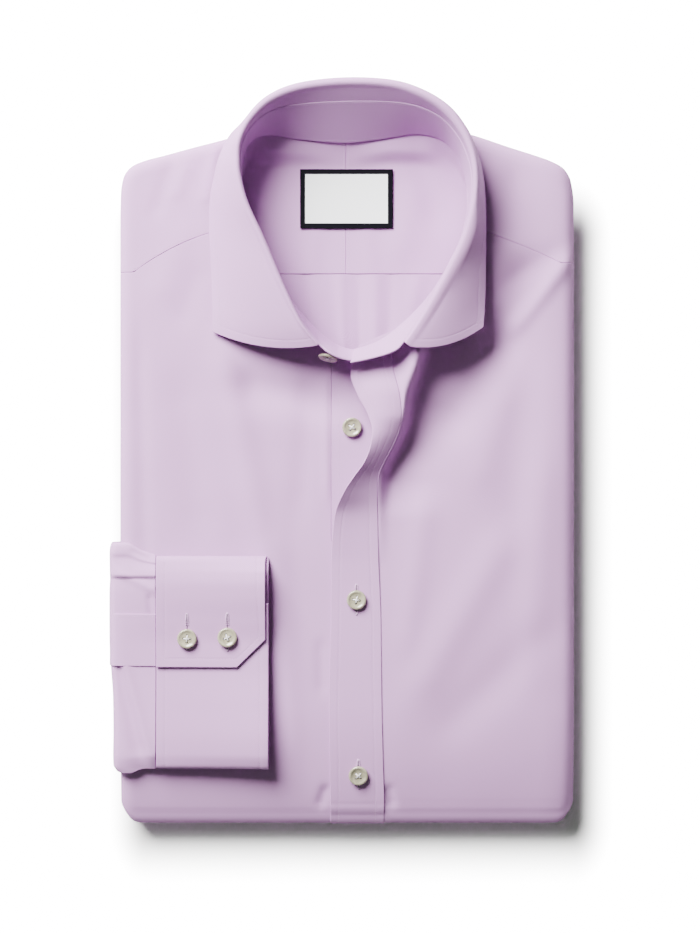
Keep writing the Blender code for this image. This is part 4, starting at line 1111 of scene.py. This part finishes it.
def stitch_mesh(name, lines, look):
    """Rows of stitches: each one a short pointed thread that dips into the cloth at both ends."""
    points = []
    faces = []
    turns = [2 * math.pi * side / STITCH_SIDES for side in range(STITCH_SIDES)]
    for path, facing in lines:
        runs = path_runs(path)
        for middle in np.arange(STITCH_PITCH, runs[-1] - STITCH_PITCH, STITCH_PITCH):
            first = len(points)
            start = on_path(middle - STITCH_LENGTH / 2, runs, path)
            along = on_path(middle + STITCH_LENGTH / 2, runs, path) - start
            up = on_path(middle, runs, facing)
            across = np.cross(along, up)
            across = across / np.linalg.norm(across)
            for share, wide, high in STITCH_PROFILE:
                centre = start + along * (share + 0.5) + up * high
                for turn in turns:
                    outward = across * math.cos(turn) + up * math.sin(turn) * STITCH_FLATNESS
                    points.append(centre + outward * (0.5 * STITCH_WIDTH * wide))
            faces += ring_faces(first, len(STITCH_PROFILE), STITCH_SIDES)
            faces.append(tuple(range(first + STITCH_SIDES - 1, first - 1, -1)))
            faces.append(tuple(range(len(points) - STITCH_SIDES, len(points))))
    return mesh_piece(name, points, faces, look)


def surface_point(cloth, x, y):
    """The face's point and normal nearest to an x and y, on the side that faces up."""
    near = np.hypot(cloth.grid[..., 0] - x, cloth.grid[..., 1] - y)
    near = near + np.where(cloth.normals[..., 2] > 0.1, 0.0, 1e6)
    uppermost = np.where(near < near.min() + 0.8, cloth.grid[..., 2], -1e6)
    place = np.unravel_index(np.argmax(uppermost), near.shape)
    return cloth.grid[place], cloth.normals[place]


def slit_shade(name, cloth, x, low_y, high_y, look):
    """Painted shade of the slit: a narrow dark strip between the buttonhole's threads."""
    half_width = 0.26
    proud = 0.14
    points = []
    ys = np.arange(low_y + BUTTONHOLE_BAR, high_y - BUTTONHOLE_BAR, 1.0)
    for y in ys:
        point, up = surface_point(cloth, x, y)
        for side in (-1, 1):
            points.append(np.array((x + side * half_width, y, point[2])) + up * proud)
    faces = [(a, a + 1, a + 3, a + 2) for a in range(0, 2 * len(ys) - 2, 2)]
    return mesh_piece(name, points, faces, look)


def buttonhole(name, cloth, x, low_y, high_y, look):
    """A long buttonhole: close threads round a slit, thicker at both ends."""
    points = []
    faces = []
    half = 0.5 * (high_y - low_y)
    for tooth in range(BUTTONHOLE_TEETH):
        turn = 2 * math.pi * tooth / BUTTONHOLE_TEETH
        along, side = math.sin(turn), math.cos(turn)
        y = low_y + half + (half - BUTTONHOLE_BAR) * np.sign(along) * abs(along) ** 0.35
        ends = ((x + 0.24 * side, y + 0.15 * along), (x + 1.05 * side, y + 0.85 * along))
        first = len(points)
        for end, high, wide in TOOTH_SECTION:
            point, up = surface_point(cloth, *ends[end])
            base = np.array((*ends[end], point[2])) + up * high
            step = np.array((-along, side, 0.0)) * wide
            points += [base - step, base + step]
        faces += [(a, a + 1, a + 3, a + 2) for a in range(first, first + 6, 2)]
    return mesh_piece(name, points, faces, look)


def buttonholes(cloth, places, looks):
    """Buttonholes with the painted shade of their slits, from the name, x, lower and upper end of each."""
    for name, x, low_y, high_y in places:
        hole = buttonhole(name, cloth, x, low_y, high_y, looks["thread"])
        slit = slit_shade(name + "_slit_painted_shade", cloth, x, low_y, high_y, looks["slit"])


def button_disc(name, look):
    """The button's turned disc, with four holes through its middle."""
    turns = [2 * math.pi * side / BUTTON_TURNS for side in range(BUTTON_TURNS)]
    points = []
    for share, height in BUTTON_OUTLINE:
        radius = BUTTON_RADIUS * share
        points += [(radius * math.cos(turn), radius * math.sin(turn), height) for turn in turns]
    faces = ring_faces(0, len(BUTTON_OUTLINE), BUTTON_TURNS)
    faces.append(tuple(range(BUTTON_TURNS - 1, -1, -1)))
    faces.append(tuple(range(len(points) - BUTTON_TURNS, len(points))))
    made = mesh_piece(name, points, faces, look)
    made.data.set_sharp_from_angle(angle=BUTTON_SHARP_ANGLE)
    holes = bmesh.new()
    for side_x in (-1, 1):
        for side_y in (-1, 1):
            x, y = side_x * BUTTON_HOLE_OFFSET, side_y * BUTTON_HOLE_OFFSET
            bmesh.ops.create_cone(
                holes, cap_ends=True, segments=BUTTON_HOLE_SIDES, radius1=BUTTON_HOLE_RADII[0] * MM,
                radius2=BUTTON_HOLE_RADII[1] * MM, depth=BUTTON_HOLE_DEPTH * MM,
                matrix=Matrix.Translation((x * MM, y * MM, BUTTON_MIDDLE * MM)),
            )
    hole_mesh = bpy.data.meshes.new(name + "_holes")
    holes.to_mesh(hole_mesh)
    holes.free()
    cutter = bpy.data.objects.new(name + "_holes", hole_mesh)
    bpy.context.scene.collection.objects.link(cutter)
    cut = made.modifiers.new("holes", "BOOLEAN")
    cut.operation = "DIFFERENCE"
    cut.solver = "EXACT"
    cut.object = cutter
    shape = bpy.data.meshes.new_from_object(made.evaluated_get(bpy.context.evaluated_depsgraph_get()))
    made.modifiers.clear()
    made.data = shape
    made.data.set_sharp_from_angle(angle=BUTTON_SHARP_ANGLE)
    bpy.data.objects.remove(cutter, do_unlink=True)
    return made


def thread_cross(name, look):
    """The sewing thread: strands from hole to hole over the middle, and down through the holes."""
    points = []
    faces = []
    turns = [2 * math.pi * side / STRAND_SIDES for side in range(STRAND_SIDES)]
    for side in (-1, 1):
        for shift in STRAND_SHIFTS:
            first = len(points)
            for share, height in STRAND:
                reach = share * BUTTON_HOLE_OFFSET
                centre = np.array((shift - side * reach, reach, height))
                tilt = math.copysign(abs(share) ** 6, share)
                for turn in turns:
                    ring = (math.cos(turn), math.sin(turn) * tilt, math.sin(turn) * (1 - abs(tilt)))
                    points.append(centre + STRAND_RADIUS * np.array(ring))
            faces += ring_faces(first, len(STRAND), STRAND_SIDES)
    return mesh_piece(name, points, faces, look)


def place_button(name, place, normal, turn, looks):
    """A button with its thread, seated where its solid is."""
    facing = Vector(normal).normalized().to_track_quat("Z", "Y").to_matrix().to_4x4()
    seat = Matrix.Translation(Vector(place) * MM) @ facing @ Matrix.Rotation(math.radians(turn), 4, "Z")
    disc = button_disc(name + "_disc", looks["button"])
    strands = thread_cross(name + "_thread", looks["button_thread"])
    for made in (disc, strands):
        made.data.transform(seat)
    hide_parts(name)


def colour(hex_code):
    """Scene-linear colour of an sRGB hex code."""
    parts = [int(hex_code[i:i + 2], 16) / 255 for i in (0, 2, 4)]
    return tuple(p / 12.92 if p <= 0.04045 else ((p + 0.055) / 1.055) ** 2.4 for p in parts) + (1.0,)


def node(tree, kind, inputs=(), **settings):
    """Adds a shader node with its settings, sets or links its inputs, and gives back its outputs."""
    made = tree.nodes.new("ShaderNode" + kind)
    for name, value in settings.items():
        setattr(made, name, value)
    for key, value in inputs:
        if isinstance(value, bpy.types.NodeSocket):
            tree.links.new(value, made.inputs[key])
        else:
            made.inputs[key].default_value = value
    return made.outputs


def material(name, **values):
    made = bpy.data.materials.new(name)
    made.use_nodes = True
    shader = made.node_tree.nodes["Principled BSDF"]
    for socket, value in values.items():
        shader.inputs[socket.replace("_", " ")].default_value = value
    return made, made.node_tree, shader.inputs


def cotton(name, base, light, dark):
    """Fine cotton twill: slanting ribs of yarn, a slow mottle, and a soft sheen at grazing angles."""
    made, tree, sockets = material(
        name, Roughness=0.85, IOR=1.45, Sheen_Weight=0.08, Sheen_Roughness=0.4, Specular_IOR_Level=0.12,
        Sheen_Tint=colour("efe4f4"),
    )
    place = node(tree, "TexCoord")
    slanted = node(tree, "Mapping", [("Vector", place["UV"]), ("Rotation", (0.0, 0.0, math.radians(63)))])
    ribs = node(tree, "TexWave", [
        ("Vector", slanted["Vector"]), ("Scale", WAVE_UNIT / YARN_PITCH), ("Distortion", 1.2), ("Detail", 2.0)
    ])["Fac"]
    yarn = node(tree, "TexNoise", [("Vector", place["UV"]), ("Scale", 1900.0), ("Detail", 2.0)])["Fac"]
    mottle = node(tree, "TexNoise", [("Vector", place["Object"]), ("Scale", 18.0), ("Detail", 3.0)])["Fac"]
    tones = [("A", colour(dark)), ("B", colour(light))]
    slow = node(tree, "Mix", [("Factor", mottle), *tones], data_type="RGBA")["Result"]
    weave = node(tree, "Mix", [("Factor", ribs), ("A", slow), ("B", colour(base))], data_type="RGBA")
    tree.links.new(weave["Result"], sockets["Base Color"])
    height = node(tree, "Math", [(0, ribs), (1, yarn)], operation="ADD")["Value"]
    bump = node(tree, "Bump", [("Height", height), ("Strength", 0.10), ("Distance", 0.00006)])
    tree.links.new(bump["Normal"], sockets["Normal"])
    return made


def label_satin():
    """Woven satin label: a pale field inside a dark border, quite bare."""
    made, tree, sockets = material("label_satin", Roughness=0.5, IOR=1.45, Specular_IOR_Level=0.06)
    left, right, lower, upper = LABEL_BOX
    place = node(tree, "TexCoord")
    parts = node(tree, "SeparateXYZ", [("Vector", place["UV"])])
    inside = []
    for axis, sign, half in (("X", 1, (right - left) / 2), ("Y", -1, (upper - lower) / 2)):
        off = node(tree, "Math", [(0, parts[axis]), (1, sign * half * MM)], operation="SUBTRACT")["Value"]
        away = node(tree, "Math", [(0, off)], operation="ABSOLUTE")["Value"]
        reach = (half - LABEL_BORDER) * MM
        inside.append(node(tree, "Math", [(0, away), (1, reach)], operation="LESS_THAN")["Value"])
    both = node(tree, "Math", [(0, inside[0]), (1, inside[1])], operation="MULTIPLY")["Value"]
    wave = [("Vector", place["UV"]), ("Scale", WAVE_UNIT / LABEL_RIB_PITCH)]
    ribs = node(tree, "TexWave", wave, bands_direction="Y")["Fac"]
    ribbed = []
    for low, high in (("050409", "0d0b14"), ("e9eff2", "fbfdfd")):
        tones = [("A", colour(low)), ("B", colour(high))]
        ribbed.append(node(tree, "Mix", [("Factor", ribs), *tones], data_type="RGBA")["Result"])
    border, field = ribbed
    whole = node(tree, "Mix", [("Factor", both), ("A", border), ("B", field)], data_type="RGBA")
    tree.links.new(whole["Result"], sockets["Base Color"])
    bump = node(tree, "Bump", [("Height", ribs), ("Strength", 0.12), ("Distance", 0.00008)])
    tree.links.new(bump["Normal"], sockets["Normal"])
    return made


def pearl():
    """Pearly polyester of a shirt button, with cloudy swirls under a clear gloss."""
    made, tree, sockets = material(
        "pearly_polyester", Roughness=0.22, IOR=1.55, Coat_Weight=0.5, Coat_Roughness=0.06
    )
    place = node(tree, "TexCoord")["Object"]
    cloud = node(
        tree, "TexNoise", [("Vector", place), ("Scale", 170.0), ("Detail", 3.0), ("Distortion", 1.6)]
    )["Fac"]
    dark, light = colour("6e6954"), colour("c2bca4")
    shade = node(tree, "Mix", [("Factor", cloud), ("A", dark), ("B", light)], data_type="RGBA")
    tree.links.new(shade["Result"], sockets["Base Color"])
    return made


def thread(name, tone):
    """Sewing thread, with painted shade: a fine random mottle a little darker, standing in for where its
    strands turn away.
    """
    made, tree, sockets = material(name, Roughness=0.6, IOR=1.5, Sheen_Weight=0.2)
    place = node(tree, "TexCoord")["Object"]
    # Painted shade: a random fine noise mixes in a tone 18% darker
    twist = node(tree, "TexNoise", [("Vector", place), ("Scale", 2600.0), ("Detail", 1.0)])["Fac"]
    light = colour(tone)
    dark = tuple(0.82 * part for part in light[:3]) + (1.0,)
    shade = node(tree, "Mix", [("Factor", twist), ("A", dark), ("B", light)], data_type="RGBA")
    tree.links.new(shade["Result"], sockets["Base Color"])
    return made


def layers_core(looks):
    """What is folded out of sight: stacked folds of cloth that show only in the slit and at the hem."""
    rings = []
    levels = np.arange(CORE_SIDE[0][1], CORE_SHOWN_TOP, CORE_LEVEL_STEP)
    heights = [row[1] for row in CORE_SIDE]
    coarse = np.array([core_ring(index) for index in range(len(CORE_SIDE))], float)
    for height in levels:
        above = min(int(np.searchsorted(heights, height, side="right")), len(heights) - 1)
        share = (height - heights[above - 1]) / (heights[above] - heights[above - 1])
        ring = coarse[above - 1] + (coarse[above] - coarse[above - 1]) * share
        fold = abs(math.sin(math.pi * (height - levels[0]) / LAYER_PITCH))
        inward = (1 - fold ** 0.6) * LAYER_DEPTH
        away = ring[:, :2] - ring[:, :2].mean(axis=0)
        ring[:, :2] -= np.clip(away / 30.0, -1, 1) * inward
        ring[:, 2] -= shoulder_sag(ring[:, 0], ring[:, 1]) * upper_share(height)
        rings.append(ring)
    rings = np.array(rings)
    closed = np.concatenate([rings, rings[:, :1]], axis=1)
    spaced = resample(closed, 1, 4.0, ())
    rows, columns = spaced.shape[:2]
    index = np.arange(rows * columns).reshape(rows, columns)
    faces = grid_faces(index).tolist() + [index[0, ::-1].tolist()]
    made = mesh_piece("stacked_folds", spaced.reshape(-1, 3), faces, looks["cotton"])
    made.data.set_sharp_from_angle(angle=math.radians(60))
    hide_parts("folded_layers")


def piece(name, cloth, looks, node_name, rows=(), stitches=None):
    """One piece of cotton: its wall and its rows of stitches, with the model's part that it stands for
    hidden.
    """
    made = cloth_wall(name, cloth, looks["cotton"])
    if rows:
        lines = [cloth.line(*row) for row in rows]
        stitch_mesh(stitches or name + "_stitches", lines, looks["thread"])
    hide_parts(node_name)


def fronts(looks):
    for side, grid, face, creases, seed, width in (
        ("left", front_left(), 1.0, LEFT_CREASES, 3, 0.138),
        ("right", front_right(), -1.0, RIGHT_CREASES, 4, 0.130),
    ):
        front = Cloth(grid, face, 1.9, 0.9, (1.2, 2.4))
        front.sag()
        front.relief(0.0, creases, 0.22, 62.0, seed)
        piece(
            side + "_front", front, looks, "front_" + side,
            [("bottom", 9.0)],
        )
    band = Cloth(button_band(), -1.0, 1.5, 0.8)
    band.relief(0.0, LEFT_CREASES, 0.05, 50.0, 5)
    piece("button_strip", band, looks, "button_band", [("left", 4.5)])


def front_placket(looks):
    strip = Cloth(placket(), -1.0, 1.1, 0.72, (4.0, 4.6, 5.0, 5.4, 6.0))
    strip.sag()
    strip.relief(strip.groove(("left", "right"), 5.0), [], 0.05, 60.0, 8)
    piece(
        "buttonhole_strip", strip, looks, "placket",
        [("left", 5.0), ("right", 5.0)],
    )
    buttonholes(strip, (
        ("buttonhole_front_2", 8.1, -91.5, -73.0),
        ("buttonhole_front_3", 9.2, -193.0, -175.0),
    ), looks)


def yokes(looks):
    half = 0.5 * SEAM_GAP
    last = len(SHOULDER_OUTLINE) - 1
    halves = (
        ("left", range(CENTRE_BACK_ROW + 1), -half, 0, LEFT_SHOULDER_BOW, LEFT_CREASES, "top"),
        ("right", range(CENTRE_BACK_ROW, last + 1), half, last, RIGHT_SHOULDER_BOW, RIGHT_CREASES, "bottom"),
    )
    for side, rows, shift, bow_row, bow, creases, seam in halves:
        outer = Cloth(outer_yoke(rows, shift, bow_row, bow), -1.0, 1.5, 0.9, NEAR_STITCHES)
        outer.sag()
        outer.relief(0.0, creases, 0.08, 60.0, 11)
        piece(
            side + "_yoke", outer, looks, "yoke_" + side,
            [(seam, 1.6)],
        )
    for side, sign, flat in (("left", -1, (0.066, 0.075)), ("right", 1, (0.076, 0.078))):
        from_x = YOKE_SPLIT_X + 0.2 * sign * half
        inner = Cloth(inner_yoke(sign, from_x), sign, 1.3, 0.9, NEAR_STITCHES)
        inner.relief(0.0, INNER_YOKE_CREASES, 0.08, 50.0, 12)
        piece(
            side + "_inner_yoke", inner, looks, "yoke_inner_" + side,
            [("top", 1.6), ("left", 1.4)],
        )
    back = Cloth(back_inner(), -1.0, 1.3, 0.8)
    back.relief(0.0, BACK_CREASES, 0.08, 50.0, 14)
    piece("inside_back", back, looks, "back_inner")


def label(looks):
    cloth = Cloth(neck_label(), -1.0, 1.2, 0.7)
    cloth.relief(0.0, [], 0.05, 40.0, 15)
    made = cloth_wall("bare_label", cloth, looks["label"])
    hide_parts("neck_label")


def collar(looks):
    stand = Cloth(collar_stand(), -1.0, 1.0, 1.3, NEAR_STITCHES)
    stand.relief(0.0, [], 0.06, 40.0, 16)
    piece(
        "stand", stand, looks, "collar_stand",
        [("left", 1.5), ("right", 1.5)],
    )
    leaf = Cloth(collar_leaf(), -1.0, 1.0, 1.15, (4.9, 5.3, 5.6, 5.9, 6.3))
    sides = ("right", "top", "bottom")
    leaf.relief(leaf.groove(sides, 5.6), [], 0.10, 60.0, 17)
    rows = [(side, 5.6) for side in sides]
    piece("leaf", leaf, looks, "collar_leaf", rows)


def lift_with_cuff(cloth):
    """Raises what lies in the sleeve's face with the cuff that it is joined to."""
    x, y, z = np.moveaxis(cloth.grid, 2, 0)
    cloth.raise_by(cuff_lift(x, y) * np.clip((z - SLEEVE_FACE_FROM) / SLEEVE_FACE_RUN, 0.0, 1.0))


def sleeve_end(looks):
    arm = Cloth(sleeve(), -1.0, 1.0, 1.1)
    lift_with_cuff(arm)
    arm.relief(0.0, SLEEVE_CREASES, 0.08, 40.0, 18)
    piece("sleeve_end", arm, looks, "sleeve")
    strip = Cloth(sleeve_placket(), -1.0, 1.0, 0.8, NEAR_STITCHES)
    lift_with_cuff(strip)
    strip.relief(0.0, [], 0.04, 40.0, 19)
    piece(
        "sleeve_strip", strip, looks, "sleeve_placket",
        [("top", 1.5), ("bottom", 1.5)],
    )
    end = Cloth(cuff(), -1.0, 1.1, 1.2, (4.4, 4.8, 5.1, 5.4, 5.8))
    sides = ("left", "top", "bottom")
    groove = end.groove(sides, 5.1)
    end.raise_by(cuff_lift(end.grid[..., 0], end.grid[..., 1]))
    end.relief(groove, [], 0.07, 45.0, 20)
    rows = [(side, 5.1) for side in sides]
    piece("cuff_strip", end, looks, "cuff", rows, stitches="cuff_stitches")
    buttonholes(end, (
        ("buttonhole_cuff_1", -89.6, -112.0, -89.6),
        ("buttonhole_cuff_2", -66.3, -112.0, -89.2),
    ), looks)


def buttons(looks):
    seat = 0.35
    placket_top = PACK_TOP + PLACKET_PROUD + seat
    low_top = placket_top - float(shoulder_sag(9.2, -184.6))
    cuff_top = PACK_TOP + 3 * (SEAM_GAP + CUFF_CLOTH) + seat
    up = (0.0, 0.0, 1.0)
    place_button("collar_button", (-8.0, 58.4, 41.2), (-0.22, -0.93, 0.25), 20.0, looks)
    place_button("front_button_1", (5.5, 17.5, PACK_TOP + seat), up, 10.0, looks)
    place_button("front_button_2", (8.1, -82.5, placket_top), up, 35.0, looks)
    place_button("front_button_3", (9.2, -184.6, low_top), (0.0, -0.14, 1.0), 5.0, looks)
    for name, x, y, turn in (("cuff_button_1", -89.6, -104.6, 15.0), ("cuff_button_2", -66.3, -103.8, 40.0)):
        place_button(name, (x, y, cuff_top + float(cuff_lift(x, y))), (-0.03, 0.06, 1.0), turn, looks)


def area_light(name, place, size, power, tint):
    """A round soft light that faces the middle of the shirt."""
    lamp = bpy.data.lights.new(name, "AREA")
    lamp.shape = "DISK"
    lamp.size = size
    lamp.energy = power
    lamp.color = tint
    made = bpy.data.objects.new(name, lamp)
    made.location = place
    made.rotation_euler = (-Vector(place)).to_track_quat("-Z", "Y").to_euler()
    bpy.context.scene.collection.objects.link(made)


def floor_glow_with_painted_shadow(tree):
    """Painted light and shadow of the floor: its glow is off in a box round the shirt, as a painted shadow,
    and full from GLOW_REACH beyond the box on.
    """
    parts = node(tree, "SeparateXYZ", [("Vector", node(tree, "TexCoord")["Object"])])
    sides = []
    for axis, middle, half, stretch in PAINTED_SHADOW_BOX:
        way = parts[axis]
        for operation, value in (
            ("SUBTRACT", middle), ("ABSOLUTE", 0.0), ("SUBTRACT", half), ("MAXIMUM", 0.0),
            ("DIVIDE", stretch), ("POWER", 2.0),
        ):
            way = node(tree, "Math", [(0, way), (1, value)], operation=operation)["Value"]
        sides.append(way)
    total = node(tree, "Math", [(0, sides[0]), (1, sides[1])], operation="ADD")["Value"]
    distance = node(tree, "Math", [(0, total)], operation="SQRT")["Value"]
    share = node(
        tree, "MapRange", [("Value", distance), ("From Max", GLOW_REACH)], interpolation_type="SMOOTHSTEP"
    )["Result"]
    soft = node(tree, "Math", [(0, share), (1, GLOW_SOFTNESS)], operation="POWER")["Value"]
    return node(tree, "Math", [(0, soft), (1, GLOW_FAR)], operation="MULTIPLY")["Value"]


def flat_board(name, height, look):
    half = BOARD_HALF
    corners = [(-half, -half, height), (half, -half, height), (half, half, height), (-half, half, height)]
    mesh = bpy.data.meshes.new(name)
    mesh.from_pydata(corners, [], [(0, 1, 2, 3)])
    mesh.materials.append(look)
    made = bpy.data.objects.new(name, mesh)
    bpy.context.scene.collection.objects.link(made)
    return made


def studio():
    """A floor that only the camera sees, lit and also glowing, with a painted shadow round the shirt, a plain
    board that only the light sees, lights and camera.
    """
    pale, tree, sockets = material(
        "glowing_floor_painted_shadow", Roughness=0.9, Specular_IOR_Level=0.0, Base_Color=BOARD_TONE,
        Emission_Color=(1.0, 1.0, 1.0, 1.0),
    )
    # Glow painted into the floor: off round the shirt as a painted shadow, full further out
    tree.links.new(floor_glow_with_painted_shadow(tree), sockets["Emission Strength"])
    floor = flat_board("floor", -0.0003, pale)
    floor.visible_diffuse = False
    floor.visible_glossy = False
    floor.visible_shadow = False
    plain = material("plain_board", Roughness=0.9, Specular_IOR_Level=0.0, Base_Color=BOARD_TONE)[0]
    board = flat_board("board", -0.0006, plain)
    board.visible_camera = False
    world = bpy.data.worlds.new("soft_sky")
    world.use_nodes = True
    sky = world.node_tree.nodes["Background"]
    sky.inputs["Color"].default_value = (0.86, 1.0, 0.84, 1.0)
    sky.inputs["Strength"].default_value = SKY
    bpy.context.scene.world = world
    area_light("key", (-0.67, 0.97, 0.92), 0.98, KEY_POWER, (1.0, 0.985, 0.965))
    area_light("fill", (-0.9, 0.4, 1.9), 2.2, FILL_POWER, (1.0, 0.99, 0.98))
    lens = bpy.data.cameras.new("camera")
    lens.lens = LENS_MM
    lens.sensor_width = 36.0
    lens.clip_start = 0.05
    camera = bpy.data.objects.new("camera", lens)
    camera.location = [part * MM for part in CAMERA_PLACE]
    bpy.context.scene.collection.objects.link(camera)
    bpy.context.scene.camera = camera


def main():
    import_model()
    looks = {
        "cotton": cotton("lilac_cotton_twill", "be8ec3", "ca9acf", "c091c5"),
        "thread": thread("lilac_sewing_thread", "cfa6d4"),
        "slit": thread("slit_shade_cotton", "6a4a70"),
        # Dark tone painted as the shade inside the buttonhole slits
        "button_thread": thread("ivory_button_thread", "f3eff3"),
        "button": pearl(),
        "label": label_satin(),
    }
    for build in (layers_core, fronts, front_placket, yokes, label, collar, sleeve_end, buttons):
        build(looks)
    studio()


main()
